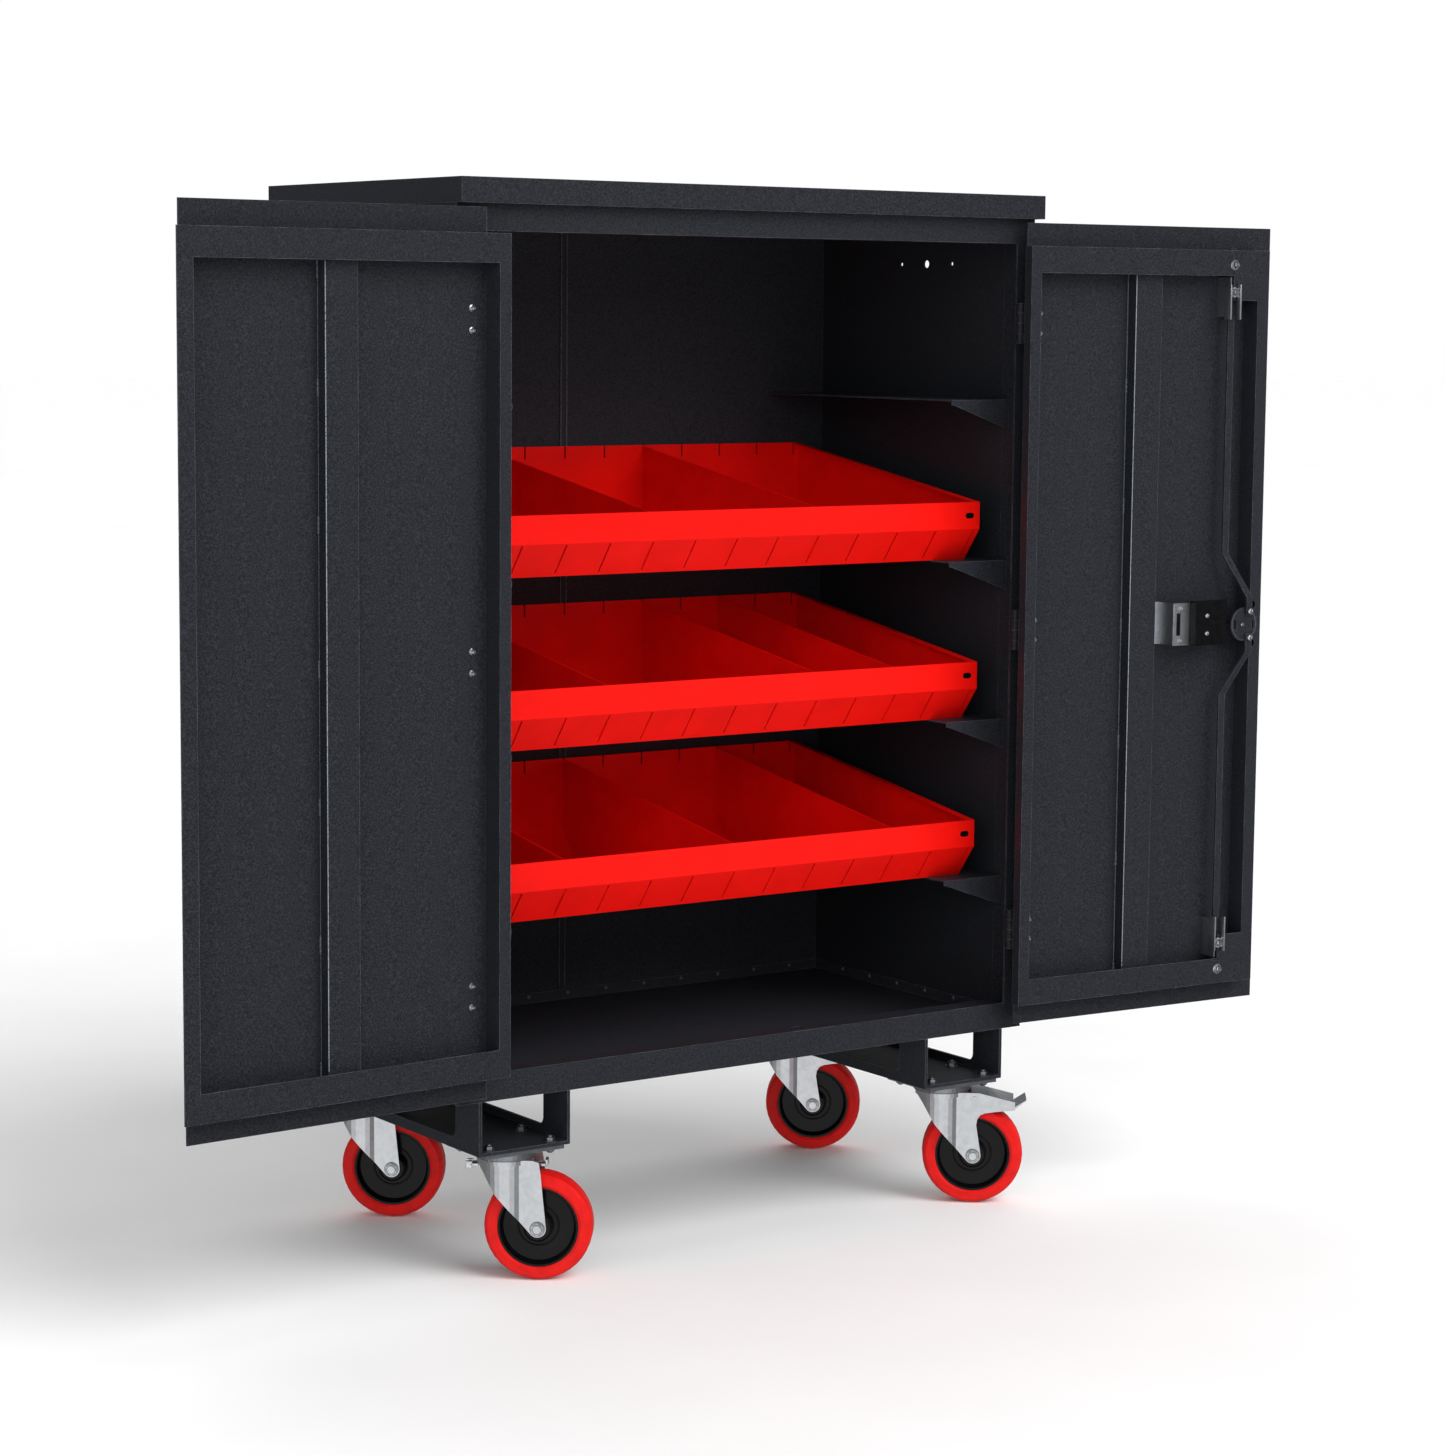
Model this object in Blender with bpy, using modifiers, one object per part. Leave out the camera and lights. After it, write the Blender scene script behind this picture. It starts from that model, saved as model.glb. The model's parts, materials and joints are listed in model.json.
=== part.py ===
"""Mobile two-door steel fittings cabinet with three divider trays on four castors.

Run with: blender --background --python part.py
Units are metres, +Z is up, the doors face -Y, and the doors stand open at rest.
"""
import math

import bmesh
import bpy
from mathutils import Matrix, Vector

# ---- overall sizes -------------------------------------------------------------------------
bodyWidth = 1.049
bodyDepth = 0.5495          # front frame face to back panel
bodyBottom = 0.2801         # underside of the frame above the floor
bodyTop = 1.5950            # top of the panels, inside the cap
frontY = 0.0205             # front face of the frame behind the cap's front edge

# ---- sheet and clearances ------------------------------------------------------------------
gap = 0.0003                # between touching pieces
sheet = 0.002               # panels, door frames
frameSheet = 0.003          # front frame angles
skidSheet = 0.005
traySheet = 0.0015

# ---- cap -----------------------------------------------------------------------------------
capOverhang = 0.0035
capBackOverhang = 0.0018
capRim = 0.0359
capTop = 1.5985

# ---- front frame ---------------------------------------------------------------------------
stileFace = 0.0345
stileSide = 0.065
railFace = 0.0414           # bottom rail height
topRailEdge = 1.5245        # lower edge of the top rail
railFlange = 0.038

# ---- hinges and doors ----------------------------------------------------------------------
hingeDrop = 0.0125          # hinge axis in front of the frame face
hingeInset = 0.0005         # hinge axis inside the stile edge
knuckleRadius = 0.006
knuckleLength = 0.0152
knuckleCount = 4
knuckleGap = 0.0005
leafThick = 0.0031
leafReach = 0.034
hingeHeights = (0.443, 0.921, 1.4012)
doorBottom = 0.2914
doorTop = 1.5567
skinThick = 0.0025
doorSeat = 0.0005           # skin to frame face when shut
hingeEdgeGap = 0.0013       # skin edge to hinge axis
meetGap = 0.0016            # between the two skins when shut
doorFrameDepth = 0.0358
hookReach = 0.0173
hookLip = 0.017
frameInsetEnd = 0.0364      # door frame inside the skin at top and bottom
doorRail = 0.041
leftFlangeReach = 0.0226    # left door frame past its skin
rightFrameInset = 0.0299    # right door frame inside its skin
rightStileFace = 0.0226
cornerPlateWide = 0.050
cornerPlateTall = 0.039
stiffenerWidth = 0.052
stiffenerDepth = 0.020
leftStiffenerAt = 0.224
rightStiffenerAt = 0.200
leftDoorShort = 3.1         # degrees short of fully open, as the doors stand at rest
rightDoorShort = 3.65

# ---- lock ----------------------------------------------------------------------------------
spindleFromEdge = 0.0677    # spindle to the right skin's free edge
lockHeight = 0.918
camRadius = 0.027
camThick = 0.003
camAbove = 0.0017           # cam disc in front of the door frame face
rodWide = 0.012
rodThick = 0.004
rodFromEdge = 0.0982        # straight run of the rods to the skin's free edge
rodDepth = 0.022            # rods in front of the skin, on the straight run
rodPinOffset = 0.007
rodPinHeight = 0.0215
rodBendLow = 0.044
rodBendHigh = 0.115
rodTipPast = 0.0032         # rod tips past the door frame, just inside the frame opening
keepClear = 0.003
lockCaseWide = 0.065
lockCaseTall = 0.0716
lockCaseFront = 0.057
lockCaseDepth = 0.014
lockCaseFromSpindle = 0.0495
bracketWide = 0.118
bracketDepth = 0.0425
bracketStrip = 0.020

# ---- shelves and trays ---------------------------------------------------------------------
lowestLedge = 0.519
levelPitch = 0.254
levelCount = 4
ledgeWide = 0.119
ledgeFrontY = 0.069
ledgeLipWall = 0.047
ledgeLipTip = 0.008
trayInset = 0.022           # tray end inside the door opening
trayFrontY = 0.0752
trayBackClear = 0.0055
trayFrontHeight = 0.093
trayBackHeight = 0.170
trayBandHeight = 0.0427
traySlopeRun = 0.0375
trayTopFlange = 0.012
slotPitch = 0.0762
slotHalfCount = 6
slotWidth = 0.0026
backSlotDepth = 0.020
dividerThick = 0.0014
dividerClear = 0.0006
dividerTab = 0.003
dividerSlots = {1: (-4, 0, 4), 2: (-3, 2, 4), 3: (-2, 2)}    # ledge level: slot numbers

# ---- skids and castors ---------------------------------------------------------------------
skidOuterInset = 0.037      # skid's outer face inside the body side
skidWidth = 0.1556
skidTab = 0.066
skidLip = 0.016
skidBackInset = 0.012
castorFromFront = 0.0545
castorFromBack = 0.0544
castorHeight = 0.1996
plateLong = 0.135
plateShort = 0.110
plateThick = 0.005
headRadius = 0.0455
headHeight = 0.012
wheelRadius = 0.080
wheelWidth = 0.050
tyreThick = 0.0205
trail = 0.0503
trailAngle = -37.5          # degrees, all four castors trail the same way at rest
forkSheet = 0.004
forkClear = 0.004
crownRadius = 0.0405        # outside of the curved skirt in front of the wheel
crownThick = 0.008
crownLip = 0.0015           # crown plate past the skirt
axleRadius = 0.006
axleEndRadius = 0.0128
axleNut = 0.0095
axlePast = 0.0065           # axle ends outside the legs
bossRadius = 0.021
rimLip = 0.003              # flat edge of the hub beside the tyre
rimSlope = 0.0045
dishHalf = 0.010            # half of the hub's thin web
forkSlant = ((-0.012, 0.051), (-0.030, 0.020), (-0.040, 0.007))   # skirt's front edge: along, below the crown
armReach = 0.0662           # brake arm's end behind the axle
pedalReach = 0.135
pedalThick = 0.003
pedalSideGap = 0.0006
pedalPinX = 0.052
pedalPinDrop = 0.026        # below the skid's underside
pedalPinRadius = 0.003

# ---- sizes that follow ---------------------------------------------------------------------
half = bodyWidth / 2
backY = frontY + bodyDepth
openHalf = half - stileFace
hingeX = openHalf - hingeInset
hingeY = frontY - hingeDrop
skinInner = -(hingeDrop - doorSeat)
skinOuter = skinInner + skinThick
skinWidth = hingeX - hingeEdgeGap - meetGap / 2
railTop = bodyBottom + railFace
frameBottom = doorBottom + frameInsetEnd
frameTop = doorTop - frameInsetEnd
trayHalf = openHalf - trayInset
trayDepth = backY - sheet - trayBackClear - trayFrontY
wheelReach = wheelWidth / 2 + forkClear

colours = {
    "paint": ((0.030, 0.033, 0.038), 0.55, 0.0),
    "red_paint": ((0.80, 0.012, 0.006), 0.45, 0.0),
    "zinc": ((0.62, 0.64, 0.66), 0.35, 1.0),
    "red_tyre": ((0.70, 0.010, 0.010), 0.40, 0.0),
    "black_hub": ((0.012, 0.012, 0.013), 0.25, 0.0),
}


def clearScene():
    for obj in list(bpy.data.objects):
        bpy.data.objects.remove(obj, do_unlink=True)
    for collection in list(bpy.data.collections):
        bpy.data.collections.remove(collection)


clearScene()
parts = bpy.data.collections.new("tool_cabinet")
cutters = bpy.data.collections.new("cutters")
bpy.context.scene.collection.children.link(parts)
bpy.context.scene.collection.children.link(cutters)

root = bpy.data.objects.new("cabinet_origin", None)
parts.objects.link(root)


def finish(obj, finishName):
    colour, roughness, metallic = colours[finishName]
    material = bpy.data.materials.new(obj.name + "_" + finishName)
    material.use_nodes = True
    shader = material.node_tree.nodes["Principled BSDF"]
    shader.inputs["Base Color"].default_value = (*colour, 1.0)
    shader.inputs["Roughness"].default_value = roughness
    shader.inputs["Metallic"].default_value = metallic
    obj.data.materials.clear()
    obj.data.materials.append(material)


def newObject(name, bm, collection, parent=None):
    mesh = bpy.data.meshes.new(name)
    bmesh.ops.recalc_face_normals(bm, faces=bm.faces)
    bm.to_mesh(mesh)
    bm.free()
    obj = bpy.data.objects.new(name, mesh)
    collection.objects.link(obj)
    obj.parent = parent
    if collection is cutters:
        obj.hide_render = True
        obj.display_type = "WIRE"
    return obj


def addBox(bm, xs, ys, zs):
    size = Vector((xs[1] - xs[0], ys[1] - ys[0], zs[1] - zs[0]))
    middle = Vector((sum(xs) / 2, sum(ys) / 2, sum(zs) / 2))
    matrix = Matrix.Translation(middle) @ Matrix.Diagonal((*size, 1.0))
    return bmesh.ops.create_cube(bm, size=1.0, matrix=matrix)["verts"]


def addRod(bm, radius, length, matrix, segments=24, endRadius=None):
    """A cylinder along the matrix's local Z, centred on it."""
    bmesh.ops.create_cone(bm, cap_ends=True, segments=segments, radius1=radius,
                          radius2=radius if endRadius is None else endRadius, depth=length, matrix=matrix)


def along(axis, x, y, z):
    turn = {"X": Matrix.Rotation(math.pi / 2, 4, "Y"), "Y": Matrix.Rotation(-math.pi / 2, 4, "X"),
            "Z": Matrix.Identity(4)}[axis]
    return Matrix.Translation((x, y, z)) @ turn


def addOutline(bm, points, toWorld, low, high):
    """A flat outline (2D points) raised from low to high; toWorld maps (a, b, h) to a place."""
    verts = [bm.verts.new(toWorld(a, b, low)) for a, b in points]
    edges = [bm.edges.new((verts[i - 1], verts[i])) for i in range(len(verts))]
    face = bmesh.ops.contextual_create(bm, geom=edges)["faces"][0]
    raised = bmesh.ops.extrude_face_region(bm, geom=[face])["geom"]
    shift = Vector(toWorld(0, 0, high)) - Vector(toWorld(0, 0, low))
    bmesh.ops.translate(bm, vec=shift, verts=[v for v in raised if isinstance(v, bmesh.types.BMVert)])


def arc(cx, cy, radius, start, end, steps):
    turns = [math.radians(start + (end - start) * i / steps) for i in range(steps + 1)]
    return [(cx + radius * math.cos(t), cy + radius * math.sin(t)) for t in turns]


def boolean(obj, operand, operation):
    modifier = obj.modifiers.new(operation.lower() + "_" + operand.name, "BOOLEAN")
    modifier.operation = operation
    modifier.solver = "EXACT"
    modifier.use_self = True
    modifier.object = operand


def piece(name, build, finishName, parent=None, extra=None, cut=None, within=None):
    """One sub-part: build(bm) makes its first solid, within(bm) what it is trimmed to, extra(bm) what is joined on
    and cut(bm) what is taken out."""
    bm = bmesh.new()
    build(bm)
    obj = newObject(name, bm, parts, parent or root)
    steps = (("trimmed", within, "INTERSECT"), ("joined", extra, "UNION"), ("cut", cut, "DIFFERENCE"))
    for suffix, make, operation in steps:
        if make:
            bm = bmesh.new()
            make(bm)
            boolean(obj, newObject(name + "_" + suffix, bm, cutters, parent or root), operation)
    finish(obj, finishName)
    return obj


def bevelEdges(obj, width, segments=2):
    modifier = obj.modifiers.new("edges", "BEVEL")
    modifier.width = width
    modifier.segments = segments
    modifier.limit_method = "ANGLE"
    modifier.angle_limit = math.radians(40)


def smooth(obj, degrees=35):
    obj.data.shade_smooth()
    obj.data.set_sharp_from_angle(angle=math.radians(degrees))


def pivot(name, location, turn=0.0, parent=None):
    empty = bpy.data.objects.new(name, None)
    parts.objects.link(empty)
    empty.parent = parent or root
    empty.location = location
    empty.rotation_euler = (0.0, 0.0, math.radians(turn))
    return empty


# ---- cabinet body --------------------------------------------------------------------------
def makeCap():
    outer = half + capOverhang
    back = backY + capBackOverhang

    def build(bm):
        addBox(bm, (-outer, outer), (0, back), (capTop - capRim, capTop))

    def cut(bm):
        addBox(bm, (-outer + sheet, outer - sheet), (sheet, back - gap), (0, capTop - sheet))

    cap = piece("top_cap", build, "paint", cut=cut)
    bevelEdges(cap, 0.0012)


def knuckles(bm, x, y, height, first, side):
    """Every second hinge knuckle from first, each with a short web to its leaf."""
    pitch = knuckleLength + knuckleGap
    bottom = height - (knuckleCount * pitch - knuckleGap) / 2
    for number in range(first, knuckleCount, 2):
        low = bottom + number * pitch
        addRod(bm, knuckleRadius, knuckleLength, along("Z", x, y, low + knuckleLength / 2))
        yield low, low + knuckleLength


def makeFrontFrame():
    top = bodyTop

    def build(bm):
        addBox(bm, (-openHalf - 0.001, openHalf + 0.001), (frontY, frontY + frameSheet), (bodyBottom, railTop))

    def extra(bm):
        addBox(bm, (-openHalf - 0.001, openHalf + 0.001), (frontY, frontY + frameSheet), (topRailEdge, top))
        flange = (frontY + frameSheet - 0.001, frontY + railFlange)
        inner = (-openHalf - 0.001, openHalf + 0.001)
        addBox(bm, inner, flange, (railTop - frameSheet, railTop))
        addBox(bm, inner, flange, (topRailEdge, topRailEdge + frameSheet))
        for side in (-1, 1):
            outer = side * half
            edge = side * openHalf
            wall = side * (half - sheet - gap)
            xs = sorted((edge, outer))
            addBox(bm, xs, (frontY, frontY + frameSheet), (bodyBottom, top))
            xs = sorted((wall, wall - side * frameSheet))
            addBox(bm, xs, (frontY + frameSheet - 0.001, frontY + stileSide), (bodyBottom, top))
            for height in hingeHeights:
                x = side * hingeX
                leafY = (hingeY + knuckleRadius + 0.0004, frontY + 0.001)
                long = knuckleCount * (knuckleLength + knuckleGap) / 2
                xs = sorted((edge, edge + side * 0.016))
                addBox(bm, xs, leafY, (height - long, height + long))
                for low, high in knuckles(bm, x, hingeY, height, 1, side):
                    xs = sorted((x + side * 0.002, edge + side * 0.006))
                    addBox(bm, xs, (hingeY + 0.001, frontY), (low, high))

    def cut(bm):
        x = hingeX - hingeEdgeGap - (skinWidth - rodFromEdge)
        wide = rodWide / 2 + keepClear
        y = frontY - doorSeat + rodDepth + rodThick / 2
        deep = rodThick / 2 + keepClear
        for edge in (railTop, topRailEdge):
            addBox(bm, (x - wide, x + wide), (y - deep, y + deep), (edge - 0.008, edge + 0.008))

    frame = piece("front_frame", build, "paint", extra=extra, cut=cut)
    smooth(frame)


def makePanels():
    lower = bodyBottom
    front = frontY + frameSheet + gap

    def side(sign):
        def build(bm):
            xs = sorted((sign * half, sign * (half - sheet)))
            addBox(bm, xs, (front, backY), (lower, bodyTop))

        def cut(bm):
            middle = frontY + 0.268
            for offset, radius in ((-0.0656, 0.003), (0.0, 0.0063), (0.0656, 0.003)):
                addRod(bm, radius, 0.02, along("X", sign * half, middle + offset, bodyTop - 0.0998), 16)

        return build, cut

    for sign, word in ((-1, "left"), (1, "right")):
        build, cut = side(sign)
        piece("side_panel_" + word, build, "paint", cut=cut)

    inner = half - sheet - gap

    def buildBack(bm):
        addBox(bm, (-inner, inner), (backY - sheet, backY), (lower, bodyTop))

    def joinBack(bm):
        addBox(bm, (-0.0055, 0.0055), (backY - sheet - 0.002, backY - 0.001), (lower + 0.030, bodyTop))

    piece("back_panel", buildBack, "paint", extra=joinBack)

    def buildFloor(bm):
        addBox(bm, (-inner, inner), (front, backY - sheet - gap), (lower + 0.005, lower + 0.008))

    def joinFloor(bm):
        startY = frontY + stileSide + 0.004
        endY = backY - sheet - gap
        high = lower + 0.024
        low = lower + 0.006
        for sign in (-1, 1):
            xs = sorted((sign * inner, sign * (inner - sheet)))
            addBox(bm, xs, (startY, endY), (low, high))
        addBox(bm, (-inner, inner), (endY - sheet, endY), (low, high))

    piece("floor_panel", buildFloor, "paint", extra=joinFloor,
          cut=lambda bm: trimFloor(bm, inner))


def trimFloor(bm, inner):
    """Corners that clear the stiles' side legs."""
    for sign in (-1, 1):
        xs = sorted((sign * (inner + 0.01), sign * (inner - frameSheet - gap)))
        addBox(bm, xs, (frontY - 0.01, frontY + stileSide + gap), (bodyBottom - 0.01, bodyBottom + 0.04))


def makeLedges():
    wall = half - sheet - gap
    back = backY - sheet - gap - 0.007
    for level in range(levelCount):
        top = lowestLedge + level * levelPitch
        for sign, word in ((-1, "left"), (1, "right")):
            def build(bm, sign=sign, top=top):
                xs = sorted((sign * wall, sign * (wall - ledgeWide)))
                startY = frontY + stileSide + gap
                addBox(bm, xs, (startY, back), (top - sheet, top))

            def extra(bm, sign=sign, top=top):
                legIn = wall - frameSheet - gap
                lip = [(legIn, top), (wall - ledgeWide, top), (wall - ledgeWide, top - ledgeLipTip),
                       (wall - ledgeWide + 0.004, top - ledgeLipTip), (legIn, top - ledgeLipWall)]
                addOutline(bm, lip, lambda a, b, h: (sign * a, h, b), ledgeFrontY, ledgeFrontY + sheet)
                xs = sorted((sign * legIn, sign * (wall - ledgeWide)))
                addBox(bm, xs, (ledgeFrontY, frontY + stileSide + 0.004), (top - sheet, top))

            piece("ledge_%s_%d" % (word, level + 1), build, "paint", extra=extra)


# ---- doors ---------------------------------------------------------------------------------
def doorPivots():
    left = pivot("left_door_pivot", (-hingeX, hingeY, 0), leftDoorShort)
    right = pivot("right_door_pivot", (hingeX, hingeY, 0), -rightDoorShort)
    return {-1: left, 1: right}


def doorX(sign, u):
    """Place along a door, from its skin's hinge edge."""
    return sign * (hingeEdgeGap + u)


def doorBox(bm, sign, us, ts, zs):
    """A box on a door: us along the door, ts towards the cabinet's inside when shut."""
    xs = sorted(doorX(sign, u) for u in us)
    ys = sorted(skinInner - t for t in ts)
    addBox(bm, xs, ys, zs)


def makeSkin(sign, word, parent):
    def build(bm):
        doorBox(bm, sign, (0, skinWidth), (0, -skinThick), (doorBottom, doorTop))

    def extra(bm):
        leaf = (skinOuter - 0.0003, skinOuter - 0.0003 + leafThick)
        long = knuckleCount * (knuckleLength + knuckleGap) / 2
        for height in hingeHeights:
            xs = sorted((sign * hingeEdgeGap, sign * leafReach))
            addBox(bm, xs, leaf, (height - long, height + long))
            for low, high in knuckles(bm, 0, 0, height, 0, sign):
                xs = sorted((sign * 0.001, sign * 0.0055))
                addBox(bm, xs, (skinOuter - 0.0003, -0.001), (low, high))

    def cut(bm):
        if sign > 0:
            addRod(bm, 0.0062, 0.03, along("Y", doorX(1, skinWidth - spindleFromEdge), skinInner, lockHeight), 24)

    skin = piece(word + "_door_skin", build, "paint", parent, extra=extra, cut=cut if sign > 0 else None)
    smooth(skin)


def makeDoorFrame(sign, word, parent):
    start = gap                       # the frame stands on the skin's inner face
    face = (doorFrameDepth - sheet, doorFrameDepth)
    depth = (start, doorFrameDepth)
    upright = (frameBottom, frameTop)
    free = skinWidth + leftFlangeReach if sign < 0 else skinWidth - rightFrameInset

    def build(bm):
        doorBox(bm, sign, (0, sheet), depth, upright)

    def extra(bm):
        doorBox(bm, sign, (-hookReach, 0.001), face, upright)
        doorBox(bm, sign, (-hookReach, -hookReach + sheet), (doorFrameDepth - hookLip, doorFrameDepth), upright)
        if sign < 0:
            doorBox(bm, sign, (skinWidth - sheet, skinWidth), depth, upright)
            doorBox(bm, sign, (skinWidth - 0.001, free), face, upright)
        else:
            doorBox(bm, sign, (free - rightStileFace, free - rightStileFace + sheet), depth, upright)
            doorBox(bm, sign, (free - rightStileFace, free), face, upright)
            doorBox(bm, sign, (free - sheet, free), depth, upright)
            plate = (free - rightStileFace - cornerPlateWide, free - rightStileFace + 0.001)
            for low, high in ((frameTop - doorRail - cornerPlateTall, frameTop - 0.01),
                              (frameBottom + 0.01, frameBottom + doorRail + cornerPlateTall)):
                doorBox(bm, sign, plate, face, (low, high))
        span = (0.001, min(free, skinWidth) - 0.001)
        for low, high, web in ((frameTop - doorRail, frameTop, frameTop - sheet),
                               (frameBottom, frameBottom + doorRail, frameBottom)):
            doorBox(bm, sign, span, face, (low, high))
            doorBox(bm, sign, span, depth, (web, web + sheet))

    def cut(bm):
        u = skinWidth - rodFromEdge
        wide = rodWide / 2 + 0.002
        deep = (rodDepth - 0.002, rodDepth + rodThick + 0.002)
        doorBox(bm, 1, (u - wide, u + wide), deep, (frameTop - 0.01, frameTop + 0.01))
        doorBox(bm, 1, (u - wide, u + wide), deep, (frameBottom - 0.01, frameBottom + 0.01))
        middle = skinWidth - rightFrameInset - rightStileFace + 0.004
        for side in (-1, 1):
            x = doorX(1, middle)
            y = skinInner - doorFrameDepth
            addRod(bm, 0.0075, 0.012, along("Y", x, y, lockHeight + side * 0.031), 20)

    piece(word + "_door_frame", build, "paint", parent, extra=extra, cut=cut if sign > 0 else None)

    stiffenerAt = leftStiffenerAt if sign < 0 else rightStiffenerAt
    zs = (frameBottom + sheet + gap, frameTop - sheet - gap)

    def buildStiffener(bm):
        doorBox(bm, sign, (stiffenerAt, stiffenerAt + stiffenerWidth), (start, stiffenerDepth), zs)

    def cutStiffener(bm):
        doorBox(bm, sign, (stiffenerAt + sheet, stiffenerAt + stiffenerWidth - sheet), (-0.01, stiffenerDepth - sheet),
                (zs[0] - 0.01, zs[1] + 0.01))

    piece(word + "_door_stiffener", buildStiffener, "paint", parent, cut=cutStiffener)


def makeLock(parent):
    spindleU = skinWidth - spindleFromEdge
    spindle = (doorX(1, spindleU), lockHeight)
    camBack = doorFrameDepth + camAbove

    def buildCase(bm):
        high = spindleU - lockCaseFromSpindle
        doorBox(bm, 1, (high - lockCaseWide, high), (lockCaseFront - lockCaseDepth, lockCaseFront),
                (lockHeight + 0.0065 - lockCaseTall / 2, lockHeight + 0.0065 + lockCaseTall / 2))

    def joinCase(bm):
        high = spindleU - lockCaseFromSpindle
        zs = (lockHeight - 0.024, lockHeight + 0.036)
        doorBox(bm, 1, (high - 0.030, high + 0.016), (gap, lockCaseFront - 0.020), zs)
        doorBox(bm, 1, (high - 0.030, high - 0.002), (0.030, lockCaseFront - 0.010), zs)

    case = piece("lock_case", buildCase, "black_hub", parent, extra=joinCase)
    bevelEdges(case, 0.0006, 1)

    bracketEnd = spindleU - lockCaseFromSpindle - 0.032
    bracketStart = bracketEnd - bracketWide + 0.051
    zs = (lockHeight + 0.005 - 0.034, lockHeight + 0.005 + 0.034)

    def buildBracket(bm):
        doorBox(bm, 1, (bracketStart, bracketStart + sheet), (gap, bracketDepth), zs)

    def joinBracket(bm):
        doorBox(bm, 1, (bracketStart, bracketEnd), (bracketDepth - sheet, bracketDepth), zs)
        doorBox(bm, 1, (bracketStart - 0.014, bracketStart + 0.001), (gap, gap + sheet), zs)

    def cutBracket(bm):
        middle = bracketStart + bracketStrip * 0.55
        doorBox(bm, 1, (middle - 0.004, middle + 0.004), (bracketDepth - 0.01, bracketDepth + 0.01),
                (lockHeight + 0.005 - 0.018, lockHeight + 0.005 + 0.018))

    piece("lock_bracket", buildBracket, "zinc", parent, extra=joinBracket, cut=cutBracket)

    camPivot = pivot("handle_pivot", (spindle[0], skinInner, lockHeight), parent=parent)

    def buildCam(bm):
        addRod(bm, camRadius, camThick, along("Y", 0, -camBack - camThick / 2, 0), 40)

    def joinCam(bm):
        long = camBack + 0.001 + skinThick + 0.001
        addRod(bm, 0.005, long, along("Y", 0, long / 2 - camBack - 0.001, 0), 20)

    def cutCam(bm):
        for side in (-1, 1):
            addBox(bm, sorted((side * 0.0165, side * 0.0205)), (-camBack - 0.01, -camBack + 0.01), (-0.008, 0.008))

    cam = piece("lock_cam", buildCam, "zinc", camPivot, extra=joinCam, cut=cutCam)
    smooth(cam)

    outside = skinThick + gap

    def buildHandle(bm):
        addRod(bm, 0.021, 0.008, along("Y", 0, outside + 0.004, 0), 40)

    def joinHandle(bm):
        addRod(bm, 0.011, 0.026, along("Y", 0, outside + 0.016, 0), 28)
        addBox(bm, (-0.010, 0.010), (outside + 0.018, outside + 0.029), (-0.085, 0.012))

    def cutHandle(bm):
        addRod(bm, 0.0055, 0.02, along("Y", 0, outside - 0.005, 0), 20)

    handle = piece("door_handle", buildHandle, "zinc", camPivot, extra=joinHandle, cut=cutHandle)
    smooth(handle)
    makeRods(parent, spindleU, camBack)
    makeGuides(parent)


def rodSection(bm, u, t, z, tall):
    """One section of a flat bar; tall says that the bar runs up and down here."""
    y = skinInner - t
    corners = ((-1, -1), (1, -1), (1, 1), (-1, 1))
    return [bm.verts.new((doorX(1, u + a * rodWide / 2), y + b * rodThick / 2, z)) for a, b in corners]


def makeRods(parent, spindleU, camBack):
    onCam = camBack + camThick + 0.0005 + rodThick / 2
    straight = skinWidth - rodFromEdge
    for word, way, tip in (("upper", 1, frameTop + rodTipPast), ("lower", -1, frameBottom - rodTipPast)):
        stations = [(spindleU + rodPinOffset, onCam, lockHeight + way * (rodPinHeight - 0.0065)),
                    (spindleU + rodPinOffset, onCam, lockHeight + way * rodBendLow),
                    (straight, rodDepth + rodThick / 2, lockHeight + way * rodBendHigh),
                    (straight, rodDepth + rodThick / 2, tip - way * 0.008),
                    (straight + 0.001, rodDepth + rodThick / 2, tip)]

        def build(bm, stations=stations):
            rings = [rodSection(bm, *station, True) for station in stations]
            for ring in (rings[0], rings[-1]):
                bmesh.ops.contextual_create(bm, geom=ring)
            for low, high in zip(rings, rings[1:]):
                for i in range(4):
                    j = (i + 1) % 4
                    bmesh.ops.contextual_create(bm, geom=[low[i], low[j], high[j], high[i]])

        def extra(bm, way=way):
            y = skinInner - onCam - rodThick / 2 - 0.001
            place = along("Y", doorX(1, spindleU + rodPinOffset), y, lockHeight + way * rodPinHeight)
            addRod(bm, 0.0042, 0.004, place, 16)

        rod = piece(word + "_rod", build, "zinc", parent, extra=extra)
        rod.location = (0, 0, 0)


def makeGuides(parent):
    """Two cheeks and a bridge that hold each rod at the door frame's corner plates."""
    u = skinWidth - rodFromEdge
    for word, way, edge in (("upper", 1, frameTop - doorRail), ("lower", -1, frameBottom + doorRail)):
        low, high = sorted((edge - way * 0.065, edge - way * 0.002))

        def build(bm, low=low, high=high):
            doorBox(bm, 1, (u - rodWide / 2 - 0.003, u + rodWide / 2 + 0.003), (gap, rodDepth - 0.004), (low, high))

        def extra(bm, low=low, high=high):
            for side in (-1, 1):
                us = sorted((u + side * (rodWide / 2 + 0.0006), u + side * (rodWide / 2 + 0.003)))
                doorBox(bm, 1, us, (gap, doorFrameDepth - sheet - 0.001), (low, high))

        piece("rod_guide_" + word, build, "zinc", parent, extra=extra)


# ---- trays and dividers --------------------------------------------------------------------
def trayProfile():
    """Front band, front slope, floor, back slope and back wall, as (y, z) from the tray's front foot."""
    bandLow = trayFrontHeight - trayBandHeight
    return [(0, trayFrontHeight), (0, bandLow), (traySlopeRun, 0), (trayDepth - traySlopeRun, 0),
            (trayDepth, bandLow), (trayDepth, trayBackHeight)]


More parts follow.
